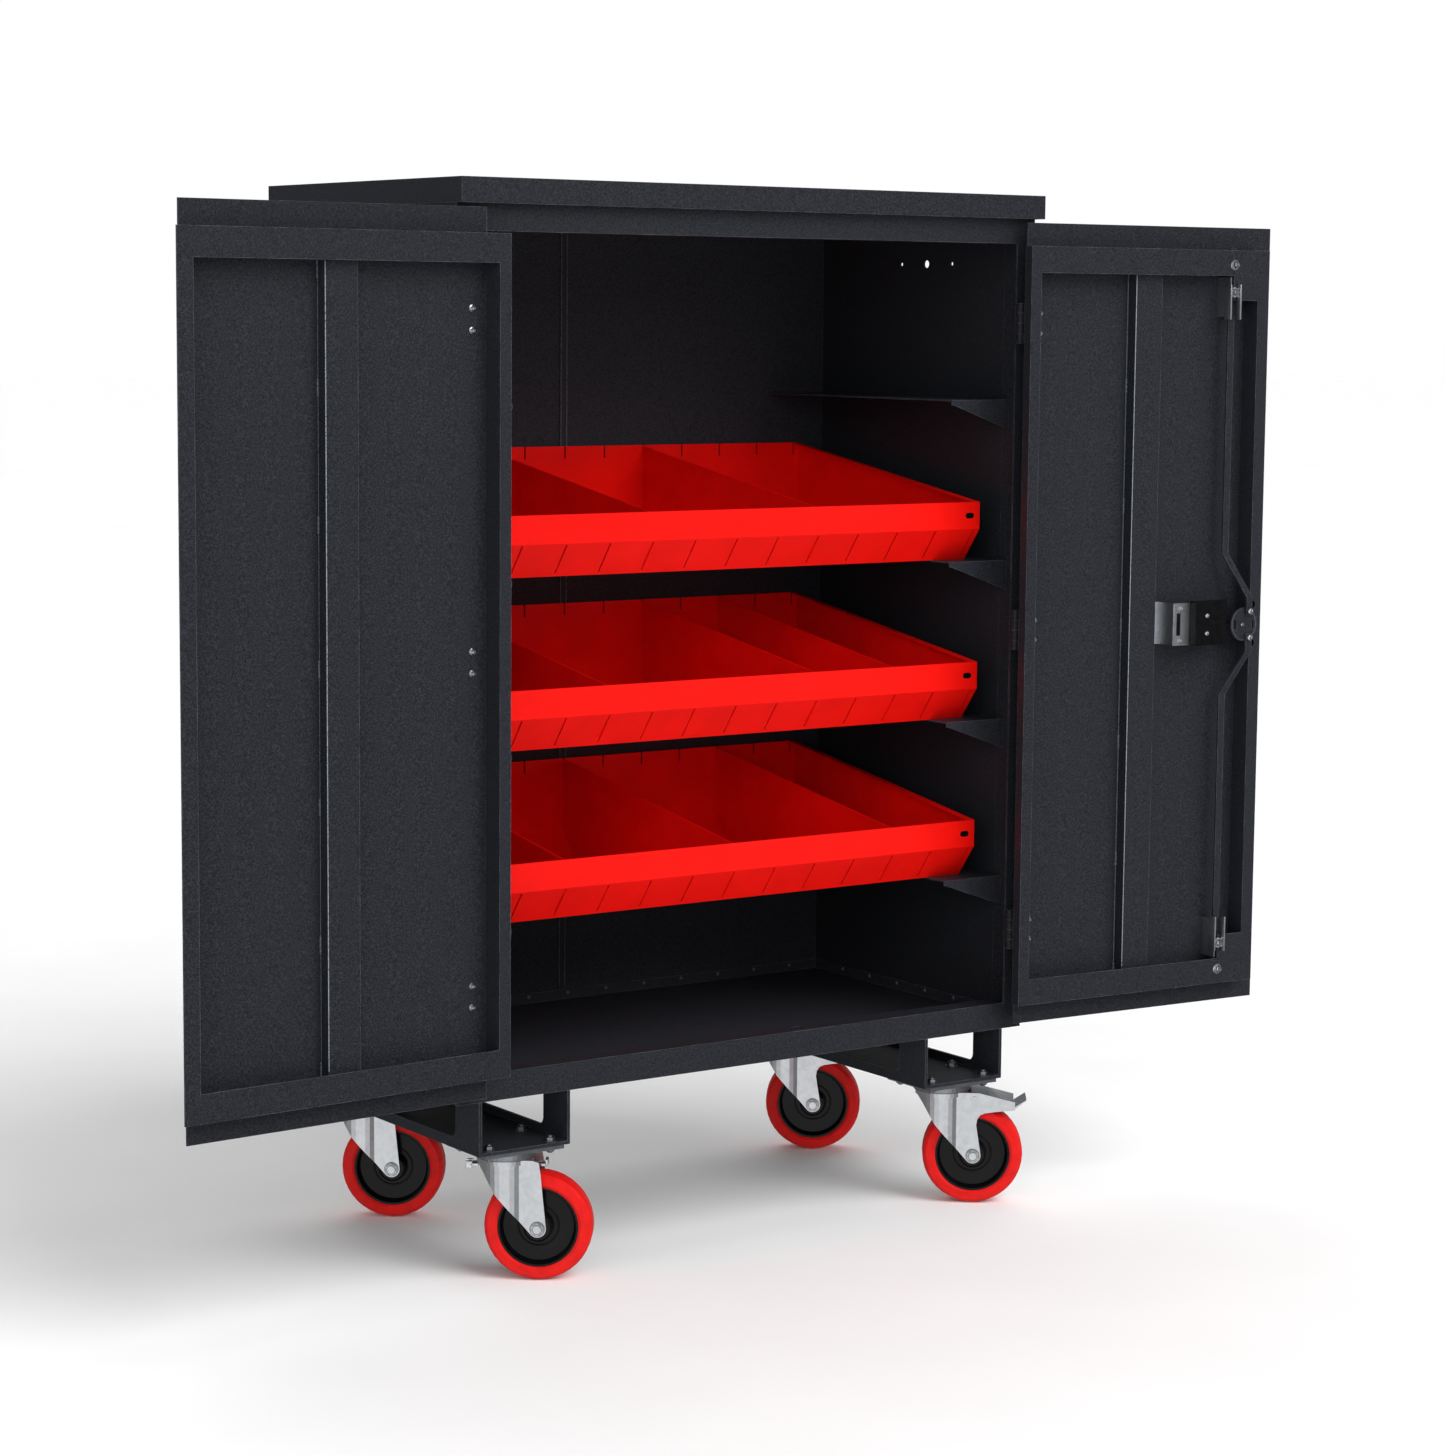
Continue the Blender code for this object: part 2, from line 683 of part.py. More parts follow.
def makeTray(name, parent):
    profile = trayProfile()

    def build(bm):
        verts = [bm.verts.new((-trayHalf, y, z)) for y, z in profile]
        edges = [bm.edges.new(pair) for pair in zip(verts, verts[1:])]
        swept = bmesh.ops.extrude_edge_only(bm, edges=edges)["geom"]
        other = [v for v in swept if isinstance(v, bmesh.types.BMVert)]
        bmesh.ops.translate(bm, vec=(2 * trayHalf, 0, 0), verts=other)
        for x in (-trayHalf, trayHalf):
            end = [v for v in bm.verts if abs(v.co.x - x) < 1e-6]
            rim = [v for v in end if v.co.z > trayFrontHeight - 1e-6]
            bm.edges.new(rim)
            loop = [e for e in bm.edges if all(v in end for v in e.verts)]
            bmesh.ops.contextual_create(bm, geom=loop)

    tray = piece(name, build, "red_paint", parent)
    solid = tray.modifiers.new("sheet", "SOLIDIFY")
    solid.thickness = traySheet
    solid.offset = -1.0
    solid.use_even_offset = True

    bm = bmesh.new()
    slotsCut(bm)
    cutter = newObject(name + "_slots", bm, cutters, parent)
    boolean(tray, cutter, "DIFFERENCE")
    return tray


def slotsCut(bm):
    bandLow = trayFrontHeight - trayBandHeight
    wide = slotWidth / 2
    for number in range(-slotHalfCount, slotHalfCount + 1):
        x = number * slotPitch
        if abs(x) > trayHalf - 0.006:
            continue
        outline = [(-0.006, bandLow - 0.002), (0.006, bandLow - 0.002), (traySlopeRun + 0.001, 0.0045),
                   (traySlopeRun - 0.011, 0.0045)]
        addOutline(bm, outline, lambda a, b, h: (h, a, b), x - wide, x + wide)
        addBox(bm, (x - wide, x + wide), (trayDepth - 0.006, trayDepth + 0.006),
               (trayBackHeight - backSlotDepth, trayBackHeight + 0.01))


def dividerOutline():
    bandLow = trayFrontHeight - trayBandHeight
    c = traySheet + dividerClear
    run = traySlopeRun
    lean = bandLow / math.hypot(run, bandLow)      # the slope's clearance, measured level
    level = c / lean
    slopeY = lambda z: run * (1 - z / bandLow)
    front = []
    for z in (0.040, 0.012):
        out = [(slopeY(z) + level, z), (slopeY(z) - dividerTab, z)]
        front += out if z > 0.02 else out[::-1]
    return [(c, trayFrontHeight - 0.002), (c, bandLow + 0.0005)] + front + [
        (slopeY(c) + level, c), (trayDepth - slopeY(c) - level, c), (trayDepth - c, bandLow + 0.0005),
        (trayDepth - c, trayBackHeight - backSlotDepth + 0.001),
        (trayDepth + dividerTab, trayBackHeight - backSlotDepth + 0.001),
        (trayDepth + dividerTab, trayBackHeight - 0.002), (trayDepth - c, trayBackHeight - 0.002)]


def makeTrays():
    words = {1: "lower", 2: "middle", 3: "upper"}
    for level in (3, 2, 1):
        foot = lowestLedge + (level - 1) * levelPitch + gap
        slide = pivot("tray_%s_pivot" % words[level], (0, trayFrontY, foot))
        makeTray("tray_" + words[level], slide)
        for number, slot in enumerate(dividerSlots[level]):
            lift = pivot("divider_%s_%d_pivot" % (words[level], number + 1), (slot * slotPitch, 0, 0), parent=slide)

            def build(bm):
                addOutline(bm, dividerOutline(), lambda a, b, h: (h, a, b), -dividerThick / 2, dividerThick / 2)

            piece("divider_%s_%d" % (words[level], number + 1), build, "red_paint", lift)


# ---- skids and castors ---------------------------------------------------------------------
def makeSkids():
    low = castorHeight
    high = bodyBottom - gap
    ys = (frontY, backY - skidBackInset)
    for sign, word in ((-1, "left"), (1, "right")):
        outer = half - skidOuterInset
        xs = sorted((sign * outer, sign * (outer - skidWidth)))

        def build(bm, xs=xs):
            addBox(bm, xs, ys, (low, high))

        def cut(bm, xs=xs):
            inside = (xs[0] + skidSheet, xs[1] - skidSheet)
            addBox(bm, inside, (ys[0] - 0.01, ys[1] + 0.01), (low + skidSheet, high + 0.01))
            radius = 0.012
            front = ys[0] + skidTab
            back = ys[1] - skidTab
            floor = low + skidLip
            outline = [(front, high + 0.01)] + arc(front + radius, floor + radius, radius, 180, 270, 4)
            outline += arc(back - radius, floor + radius, radius, 270, 360, 4) + [(back, high + 0.01)]
            addOutline(bm, outline, lambda a, b, h: (h, a, b), xs[0] - 0.01, xs[1] + 0.01)

        piece("skid_" + word, build, "paint", cut=cut)


def wheelTurned(name, profile, finishName, parent):
    """A turned ring: its half profile (radius, along the axle) swept round the axle, which is local Y."""
    bm = bmesh.new()
    verts = [bm.verts.new((radius, y, 0)) for radius, y in profile]
    edges = [bm.edges.new((verts[i], verts[(i + 1) % len(verts)])) for i in range(len(verts))]
    bmesh.ops.spin(bm, geom=verts + edges, cent=(0, 0, 0), axis=(0, 1, 0), steps=40, angle=math.tau)
    bmesh.ops.remove_doubles(bm, verts=bm.verts, dist=1e-6)
    obj = newObject(name, bm, parts, parent)
    smooth(obj, 40)
    finish(obj, finishName)
    return obj


def makeCastors():
    places = {"front_left": (-1, 0), "back_left": (-1, 1), "front_right": (1, 0), "back_right": (1, 1)}
    swivelX = half - skidOuterInset - skidWidth / 2
    for word, (sign, back) in places.items():
        y = backY - skidBackInset - castorFromBack if back else frontY + castorFromFront
        plate(word, sign * swivelX, y)
        swivel = pivot("castor_%s_pivot" % word, (sign * swivelX, y, 0), trailAngle)
        makeFork(word, swivel, sign > 0)
        spin = pivot("wheel_%s_pivot" % word, (trail, 0, wheelRadius), parent=swivel)
        makeWheel(word, spin)
        if sign > 0:
            makePedal(word, swivel)


def plate(word, x, y):
    top = castorHeight - gap

    def build(bm):
        addBox(bm, (x - plateLong / 2, x + plateLong / 2), (y - plateShort / 2, y + plateShort / 2),
               (top - plateThick, top))

    def extra(bm):
        deep = headHeight / 2
        addRod(bm, headRadius, headHeight, along("Z", x, y, top - plateThick + 0.001 - deep), 40)

    obj = piece("castor_plate_" + word, build, "zinc", extra=extra)
    smooth(obj)


def forkPlan():
    """The pressing from above: two flat legs joined round the front by a curved skirt."""
    outer = wheelReach + forkSheet
    inside = crownRadius - forkSheet
    outerTurn = math.degrees(math.asin(outer / crownRadius))
    innerTurn = math.degrees(math.asin(wheelReach / inside))
    end = trail + armReach + 0.001
    front = arc(0, 0, crownRadius, outerTurn, 360 - outerTurn, 24)
    back = arc(0, 0, inside, 360 - innerTurn, innerTurn, 24)
    return [(end, outer)] + front + [(end, -outer), (end, -wheelReach)] + back + [(end, wheelReach)]


def forkSide(top, braked):
    """The pressing from the side: slanting front edge, round foot at the axle, and the brake's arm."""
    outline = [(-crownRadius - 0.001, top), (crownRadius, top)]
    if braked:
        outline += [(pedalPinX + 0.007, top - 0.001), (trail + armReach, top - 0.015), (trail + armReach, top - 0.028),
                    (trail + 0.036, top - 0.031), (trail + 0.019, top - 0.0335), (trail + 0.011, top - 0.037),
                    (trail + 0.0065, top - 0.044), (trail + 0.005, top - 0.053)]
    else:
        outline += [(trail + 0.002, top - 0.004), (trail + 0.0045, top - 0.020)]
    foot = arc(trail, wheelRadius, axleEndRadius, 365, 221, 12)
    slant = [(along, top - drop) for along, drop in forkSlant]
    return outline + foot + slant + [(-crownRadius - 0.001, top - forkSlant[-1][1])]


def makeFork(word, parent, braked):
    top = castorHeight - gap - plateThick + 0.001 - headHeight - 0.0005
    outer = wheelReach + forkSheet

    def build(bm):
        addOutline(bm, forkPlan(), lambda a, b, h: (a, b, h), wheelRadius - 2 * axleEndRadius, top - 0.001)

    def within(bm):
        addOutline(bm, forkSide(top, braked), lambda a, b, h: (a, h, b), -crownRadius - 0.002, crownRadius + 0.002)

    def extra(bm):
        addRod(bm, crownRadius + crownLip, crownThick, along("Z", 0, 0, top - crownThick / 2), 40)
        addRod(bm, axleRadius, 2 * (outer + axlePast), along("Y", trail, 0, wheelRadius), 16)
        for face in (-1, 1):
            addRod(bm, axleNut, 0.0045, along("Y", trail, face * (outer + 0.0020), wheelRadius), 6)

    def cut(bm):
        pinZ = castorHeight - pedalPinDrop
        addRod(bm, pedalPinRadius + gap, 2 * outer + 0.02, along("Y", pedalPinX, 0, pinZ), 16)

    obj = piece("castor_fork_" + word, build, "zinc", parent, extra=extra, cut=cut if braked else None, within=within)
    smooth(obj)


def makeWheel(word, parent):
    w = wheelWidth / 2
    rim = wheelRadius - tyreThick
    edge = 0.006
    tyre = [(rim + gap, -w + 0.002), (rim + 0.004, -w), (wheelRadius - edge, -w + 0.0015), (wheelRadius - 0.0015, -w + edge),
            (wheelRadius, -w + 2 * edge), (wheelRadius, w - 2 * edge), (wheelRadius - 0.0015, w - edge),
            (wheelRadius - edge, w - 0.0015), (rim + 0.004, w), (rim + gap, w - 0.002)]
    wheelTurned("tyre_" + word, tyre, "red_tyre", parent)
    bore = axleRadius + gap
    boss = w + forkClear - 0.001
    web = rim - rimLip - rimSlope
    hub = [(bore, -boss), (bossRadius - 0.003, -boss), (bossRadius, -boss + 0.003), (bossRadius + 0.002, -dishHalf),
           (web, -dishHalf), (rim - rimLip, -w + 0.003), (rim, -w + 0.003),
           (rim, w - 0.003), (rim - rimLip, w - 0.003), (web, dishHalf), (bossRadius + 0.002, dishHalf),
           (bossRadius, boss - 0.003), (bossRadius - 0.003, boss), (bore, boss)]
    wheelTurned("hub_" + word, hub, "black_hub", parent)


def makePedal(word, parent):
    """Brake arm over the trailing side of the wheel, on a cross pin beside the crown."""
    hinge = pivot("pedal_%s_pivot" % word, (pedalPinX, 0, castorHeight - pedalPinDrop), parent=parent)
    w = wheelReach - pedalSideGap
    end = pedalReach - pedalPinX
    stopX = armReach - 0.004

    def build(bm):
        profile = [(-0.004, 0.004), (0.024, 0.004), (stopX, -0.016), (end, -0.0025),
                   (end - 0.002, -0.0025 - pedalThick), (stopX, -0.016 - pedalThick - 0.001), (0.022, 0.0005),
                   (-0.004, 0.0005)]
        addOutline(bm, profile, lambda a, b, h: (a, h, b), -w, w)

    def extra(bm):
        addRod(bm, pedalPinRadius, 2 * (wheelReach + forkSheet + 0.001), along("Y", 0, 0, 0), 16)

    obj = piece("brake_pedal_" + word, build, "zinc", hinge, extra=extra)
    smooth(obj)


def centreOrigin():
    """Put the origin under the middle of the whole object, on the floor."""
    bpy.context.view_layer.update()
    graph = bpy.context.evaluated_depsgraph_get()
    places = []
    for obj in parts.objects:
        if obj.type == "MESH":
            seen = obj.evaluated_get(graph)
            places += [obj.matrix_world @ v.co for v in seen.data.vertices]
    for axis in (0, 1):
        values = [p[axis] for p in places]
        root.location[axis] = -(min(values) + max(values)) / 2
    bpy.context.view_layer.update()
    print("origin shift:", tuple(round(value, 6) for value in root.location))


makeCap()
makeFrontFrame()
makePanels()
makeLedges()
pivots = doorPivots()
for sign, word in ((-1, "left"), (1, "right")):
    makeSkin(sign, word, pivots[sign])
    makeDoorFrame(sign, word, pivots[sign])
makeLock(pivots[1])
makeTrays()
makeSkids()
makeCastors()
centreOrigin()
print("pieces:", len([o for o in parts.objects if o.type == "MESH"]))
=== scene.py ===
import json
import math

import bmesh
import bpy
from mathutils import Matrix, Vector


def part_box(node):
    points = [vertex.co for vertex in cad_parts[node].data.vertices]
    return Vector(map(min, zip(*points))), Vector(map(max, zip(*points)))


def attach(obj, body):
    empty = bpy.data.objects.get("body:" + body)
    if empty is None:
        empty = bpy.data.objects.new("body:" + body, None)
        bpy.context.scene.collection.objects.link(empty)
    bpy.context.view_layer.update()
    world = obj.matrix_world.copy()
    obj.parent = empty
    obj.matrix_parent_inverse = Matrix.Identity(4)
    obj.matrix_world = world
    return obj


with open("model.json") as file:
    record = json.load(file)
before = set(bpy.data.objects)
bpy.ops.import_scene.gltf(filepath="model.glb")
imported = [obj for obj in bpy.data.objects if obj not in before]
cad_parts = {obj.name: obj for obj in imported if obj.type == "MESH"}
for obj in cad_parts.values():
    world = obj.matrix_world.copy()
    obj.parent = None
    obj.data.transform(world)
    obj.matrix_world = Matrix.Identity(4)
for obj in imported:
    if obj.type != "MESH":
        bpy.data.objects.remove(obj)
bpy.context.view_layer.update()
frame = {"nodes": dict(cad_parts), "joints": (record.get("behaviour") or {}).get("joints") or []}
print("frame loaded:", len(frame["nodes"]), "nodes")

capLow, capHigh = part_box("top_cap")
middle = (capLow.x + capHigh.x) / 2      # the cabinet's middle, left to right
capFront = capLow.y                      # the cap's front edge; depths below are measured from it
joints = {joint["name"]: joint for joint in frame["joints"]}


def place(x, y, z):
    return Vector((middle + x, capFront + y, z))


# colours and material nodes
def linear(code):
    values = [int(code[i:i + 2], 16) / 255 for i in (1, 3, 5)]
    return [v / 12.92 if v <= 0.04045 else ((v + 0.055) / 1.055) ** 2.4 for v in values] + [1.0]


def fillRamp(elements, stops):
    elements[0].position, elements[0].color = stops[0][0], linear(stops[0][1])
    elements[1].position, elements[1].color = stops[-1][0], linear(stops[-1][1])
    for position, code in stops[1:-1]:
        elements.new(position).color = linear(code)


def addNode(tree, kind, settings=None, links=None):
    node = tree.nodes.new(kind)
    for name, value in (settings or {}).items():
        if name == "stops":
            fillRamp(node.color_ramp.elements, value)
        elif isinstance(name, int) or name in node.inputs:
            node.inputs[name].default_value = value
        else:
            setattr(node, name, value)
    for name, source in (links or {}).items():
        tree.links.new(source, node.inputs[name])
    return node


def startMaterial(name, colour, roughness, metallic=0.0, **extra):
    material = bpy.data.materials.new(name)
    material.use_nodes = True
    tree = material.node_tree
    shader = tree.nodes["Principled BSDF"]
    shader.inputs["Base Color"].default_value = linear(colour)
    shader.inputs["Roughness"].default_value = roughness
    shader.inputs["Metallic"].default_value = metallic
    for key, value in extra.items():
        shader.inputs[key.replace("_", " ")].default_value = value
    return material, tree, shader, addNode(tree, "ShaderNodeTexCoord").outputs["Object"]


# Polyester powder coat, textured anthracite, on folded mild steel: fine cured grain that breaks up every
# highlight, thin and paler along the folds, partly the thin coat and partly a painted highlight where rounded
# edges catch light.
powder = {
    "colour": "#25272c", "light": "#32353b", "dark": "#181a1d",
    "grain": 0.0026,        # real grain is about 0.6 mm, drawn coarser so that it shows
    "grainDepth": 0.00035, "grainBump": 0.55, "grainShine": 0.06,
    "wave": 0.035, "waveDepth": 0.0006, "waveBump": 0.25, "roughness": 0.40, "sheen": 0.14,
    # edge: a pale colour mixed in along rounded edges, a painted highlight with some worn coat
    "edge": 0.0011, "edgeGain": 0.75, "edgeHighlightColour": "#767c83",
    "edgeTurn": (0.80, 0.985), "edgePatch": (0.42, 0.58), "edgeLeast": 0.35,
}


def paintedEdgeHighlight(tree, shade, flow):
    # painted highlight, with some worn coat: pale where the surface turns within the edge radius, in patches
    flat = addNode(tree, "ShaderNodeNewGeometry").outputs["Normal"]
    rounded = addNode(tree, "ShaderNodeBevel", {"samples": 4, "Radius": powder["edge"]}).outputs["Normal"]
    agree = addNode(tree, "ShaderNodeVectorMath", {"operation": "DOT_PRODUCT"},
                    {0: flat, 1: rounded}).outputs["Value"]
    turned = addNode(tree, "ShaderNodeMapRange",
                     {"From Min": powder["edgeTurn"][0], "From Max": powder["edgeTurn"][1],
                      "To Min": powder["edgeGain"], "To Max": 0.0}, {"Value": agree}).outputs["Result"]
    patchy = addNode(tree, "ShaderNodeMapRange",
                     {"From Min": powder["edgePatch"][0], "From Max": powder["edgePatch"][1],
                      "To Min": powder["edgeLeast"], "To Max": 1.0}, {"Value": flow}).outputs["Result"]
    amount = addNode(tree, "ShaderNodeMath", {"operation": "MULTIPLY"}, {0: turned, 1: patchy}).outputs[0]
    mix = addNode(tree, "ShaderNodeMix", {"data_type": "RGBA", 7: linear(powder["edgeHighlightColour"])},
                  {0: amount, 6: shade})
    return mix.outputs[2]


def makePowderCoat(name, tint=powder["colour"], roughness=powder["roughness"]):
    material, tree, shader, coords = startMaterial(name, tint, roughness, Specular_IOR_Level=powder["sheen"])
    grain = addNode(tree, "ShaderNodeTexNoise",
                    {"Scale": 1 / powder["grain"], "Detail": 3.0, "Roughness": 0.6},
                    {"Vector": coords}).outputs["Fac"]
    flow = addNode(tree, "ShaderNodeTexNoise", {"Scale": 1 / powder["wave"], "Detail": 2.0},
                   {"Vector": coords}).outputs["Fac"]
    shade = addNode(tree, "ShaderNodeValToRGB",
                    {"stops": [(0.30, powder["dark"]), (0.52, tint), (0.72, powder["light"])]},
                    {"Fac": grain}).outputs["Color"]
    tree.links.new(paintedEdgeHighlight(tree, shade, flow), shader.inputs["Base Color"])
    grainRough = addNode(tree, "ShaderNodeMapRange",
                         {"From Min": 0.3, "From Max": 0.7, "To Min": -powder["grainShine"],
                          "To Max": powder["grainShine"]}, {"Value": grain}).outputs["Result"]
    flowRough = addNode(tree, "ShaderNodeMapRange", {"To Min": roughness - 0.03, "To Max": roughness + 0.05},
                        {"Value": flow}).outputs["Result"]
    rough = addNode(tree, "ShaderNodeMath", {"operation": "ADD"}, {0: grainRough, 1: flowRough})
    tree.links.new(rough.outputs[0], shader.inputs["Roughness"])
    bump = addNode(tree, "ShaderNodeBump",
                   {"Strength": powder["grainBump"], "Distance": powder["grainDepth"]}, {"Height": grain})
    slow = addNode(tree, "ShaderNodeBump", {"Strength": powder["waveBump"], "Distance": powder["waveDepth"]},
                   {"Height": flow, "Normal": bump.outputs["Normal"]})
    tree.links.new(slow.outputs["Normal"], shader.inputs["Normal"])
    return material


# Signal-red powder coat on thin sheet: smooth and semi-gloss, with a slight orange peel.
redCoat = {
    "colour": "#e8110a", "deep": "#dc0f09", "peel": 0.004, "peelDepth": 0.0002, "wave": 0.06,
    "roughness": (0.33, 0.43), "sheen": 0.10,
}


def makeRedCoat():
    low, high = redCoat["roughness"]
    material, tree, shader, coords = startMaterial("powderCoatRedSemiGloss", redCoat["colour"], low,
                                                   Specular_IOR_Level=redCoat["sheen"])
    peel = addNode(tree, "ShaderNodeTexNoise", {"Scale": 1 / redCoat["peel"], "Detail": 2.0},
                   {"Vector": coords}).outputs["Fac"]
    wave = addNode(tree, "ShaderNodeTexNoise", {"Scale": 1 / redCoat["wave"], "Detail": 2.0},
                   {"Vector": coords}).outputs["Fac"]
    shade = addNode(tree, "ShaderNodeValToRGB",
                    {"stops": [(0.25, redCoat["deep"]), (0.65, redCoat["colour"])]}, {"Fac": wave})
    tree.links.new(shade.outputs["Color"], shader.inputs["Base Color"])
    rough = addNode(tree, "ShaderNodeMapRange", {"To Min": low, "To Max": high}, {"Value": peel})
    tree.links.new(rough.outputs["Result"], shader.inputs["Roughness"])
    bump = addNode(tree, "ShaderNodeBump", {"Strength": 0.25, "Distance": redCoat["peelDepth"]},
                   {"Height": peel})
    tree.links.new(bump.outputs["Normal"], shader.inputs["Normal"])
    return material


# Zinc-plated pressed steel, passivated: bright, slightly cloudy metal with faint rolling marks.
zincPlate = {"cloud": 0.012, "mark": 0.009, "markStretch": 14.0, "markDepth": 0.00015, "shine": (-0.08, 0.12)}


def makeZinc(name, colour, cloudColour, roughness):
    material, tree, shader, coords = startMaterial(name, colour, roughness, 1.0)
    clouds = addNode(tree, "ShaderNodeTexNoise",
                     {"Scale": 1 / zincPlate["cloud"], "Detail": 4.0, "Distortion": 0.6},
                     {"Vector": coords}).outputs["Fac"]
    stretched = addNode(tree, "ShaderNodeMapping", {"Scale": (1.0, 1.0, zincPlate["markStretch"])},
                        {"Vector": coords}).outputs["Vector"]
    marks = addNode(tree, "ShaderNodeTexNoise", {"Scale": 1 / zincPlate["mark"], "Detail": 3.0},
                    {"Vector": stretched}).outputs["Fac"]
    shade = addNode(tree, "ShaderNodeValToRGB", {"stops": [(0.3, cloudColour), (0.65, colour)]},
                    {"Fac": clouds})
    tree.links.new(shade.outputs["Color"], shader.inputs["Base Color"])
    low, high = zincPlate["shine"]
    rough = addNode(tree, "ShaderNodeMapRange", {"To Min": roughness + low, "To Max": roughness + high},
                    {"Value": marks})
    tree.links.new(rough.outputs["Result"], shader.inputs["Roughness"])
    bump = addNode(tree, "ShaderNodeBump", {"Strength": 0.18, "Distance": zincPlate["markDepth"]},
                   {"Height": marks})
    tree.links.new(bump.outputs["Normal"], shader.inputs["Normal"])
    return material


# Cast polyurethane tread, red: satin skin with a little dust and a soft sheen on the sides.
treadRubber = {
    "colour": "#dd1512", "shades": [(0.25, "#c01311"), (0.5, "#d41411"), (0.8, "#da1c16")],
    "dust": 0.02, "pore": 0.0015, "poreDepth": 0.0002, "roughness": (0.36, 0.52), "sheen": 0.2,
}


def makeTread():
    low, high = treadRubber["roughness"]
    material, tree, shader, coords = startMaterial("polyurethaneTreadRed", treadRubber["colour"], low,
                                                   Specular_IOR_Level=treadRubber["sheen"])
    dust = addNode(tree, "ShaderNodeTexNoise", {"Scale": 1 / treadRubber["dust"], "Detail": 5.0},
                   {"Vector": coords}).outputs["Fac"]
    pores = addNode(tree, "ShaderNodeTexNoise", {"Scale": 1 / treadRubber["pore"], "Detail": 2.0},
                    {"Vector": coords}).outputs["Fac"]
    shade = addNode(tree, "ShaderNodeValToRGB", {"stops": treadRubber["shades"]}, {"Fac": dust})
    tree.links.new(shade.outputs["Color"], shader.inputs["Base Color"])
    rough = addNode(tree, "ShaderNodeMapRange", {"To Min": low, "To Max": high}, {"Value": dust})
    tree.links.new(rough.outputs["Result"], shader.inputs["Roughness"])
    bump = addNode(tree, "ShaderNodeBump", {"Strength": 0.2, "Distance": treadRubber["poreDepth"]},
                   {"Height": pores})
    tree.links.new(bump.outputs["Normal"], shader.inputs["Normal"])
    return material


# Moulded glass-filled nylon, black: glossy with faint flow marks.
blackNylon = {
    "colour": "#070708", "shades": [(0.3, "#060607"), (0.7, "#0e0e10")],
    "flow": 0.010, "flowDepth": 0.0002, "roughness": (0.13, 0.26), "sheen": 0.16, "index": 1.53,
}


def makeNylon():
    low, high = blackNylon["roughness"]
    material, tree, shader, coords = startMaterial("nylonMouldedBlack", blackNylon["colour"], low,
                                                   IOR=blackNylon["index"],
                                                   Specular_IOR_Level=blackNylon["sheen"])
    flow = addNode(tree, "ShaderNodeTexNoise",
                   {"Scale": 1 / blackNylon["flow"], "Detail": 4.0, "Distortion": 1.2},
                   {"Vector": coords}).outputs["Fac"]
    shade = addNode(tree, "ShaderNodeValToRGB", {"stops": blackNylon["shades"]}, {"Fac": flow})
    tree.links.new(shade.outputs["Color"], shader.inputs["Base Color"])
    rough = addNode(tree, "ShaderNodeMapRange", {"To Min": low, "To Max": high}, {"Value": flow})
    tree.links.new(rough.outputs["Result"], shader.inputs["Roughness"])
    bump = addNode(tree, "ShaderNodeBump", {"Strength": 0.15, "Distance": blackNylon["flowDepth"]},
                   {"Height": flow})
    tree.links.new(bump.outputs["Normal"], shader.inputs["Normal"])
    return material


# Seamless studio paper, matt white: an even, dull floor with barely any cloud.
studioPaper = {
    "colour": "#fafafa", "roughness": 0.9, "cloud": 1 / 3, "shades": [(0.3, "#f8f8f8"), (0.7, "#fbfbfb")],
}


def makePaper():
    material, tree, shader, coords = startMaterial("paperMattWhite", studioPaper["colour"],
                                                   studioPaper["roughness"])
    pulp = addNode(tree, "ShaderNodeTexNoise", {"Scale": 1 / studioPaper["cloud"], "Detail": 3.0},
                   {"Vector": coords}).outputs["Fac"]
    shade = addNode(tree, "ShaderNodeValToRGB", {"stops": studioPaper["shades"]}, {"Fac": pulp})
    tree.links.new(shade.outputs["Color"], shader.inputs["Base Color"])
    return material


darkCoat = makePowderCoat("powderCoatAnthraciteTextured")
# the same coat, lighter on the back, floor and ledges inside: painted light against the shade in the cabinet
insideLightenedCoat = makePowderCoat("powderCoatAnthraciteInsideLightened", "#2d2e34", 0.42)
# the coat over welds, tacks and seam lips is paler than the same coat elsewhere: a painted highlight
weldHighlightCoat = makePowderCoat("powderCoatOverWeldHighlight", "#5d636a", 0.20)        # flows glossy over a bead
# a pale line on a fold: partly the coat rubbed thin, partly a painted highlight on the corner
rubbedFoldHighlightCoat = makePowderCoat("powderCoatRubbedFoldHighlight", "#9ba1a9", 0.34)    # thin along a fold: a pale line
redPaint = makeRedCoat()
zinc = makeZinc("zincPlatedSteel", "#d2d4d7", "#c3c6ca", 0.34)
# a darker copy of the zinc: painted shade on the ball races under the plates, and the same darker tone on
# plates, nuts, washers, handle and cam ring
darkerZinc = makeZinc("zincPlatedSteelDarker", "#a2a5a9", "#8f9297", 0.40)
boltSteel = makeZinc("zincPlatedBolts", "#d6d9dc", "#b9bcc0", 0.22)
tread = makeTread()
nylon = makeNylon()
print("materials made:", len(bpy.data.materials))

# each frame node wears the first finish whose start of a name fits, or else the dark coat
finishes = (
    (("tray_", "divider_"), redPaint),
    (("tyre_",), tread),
    (("hub_", "lock_case"), nylon),
    (("castor_plate", "door_handle"), darkerZinc),
    (("upper_rod", "lower_rod", "lock_cam"), darkCoat),
    (("castor_fork", "brake_pedal", "lock_", "rod_guide"), zinc),
    (("back_panel", "floor_panel", "ledge_"), insideLightenedCoat),
    (("",), darkCoat),
)
for name, node in frame["nodes"].items():
    node.data.materials.clear()
    node.data.materials.append(next(finish for starts, finish in finishes if name.startswith(starts)))
print("frame nodes painted")


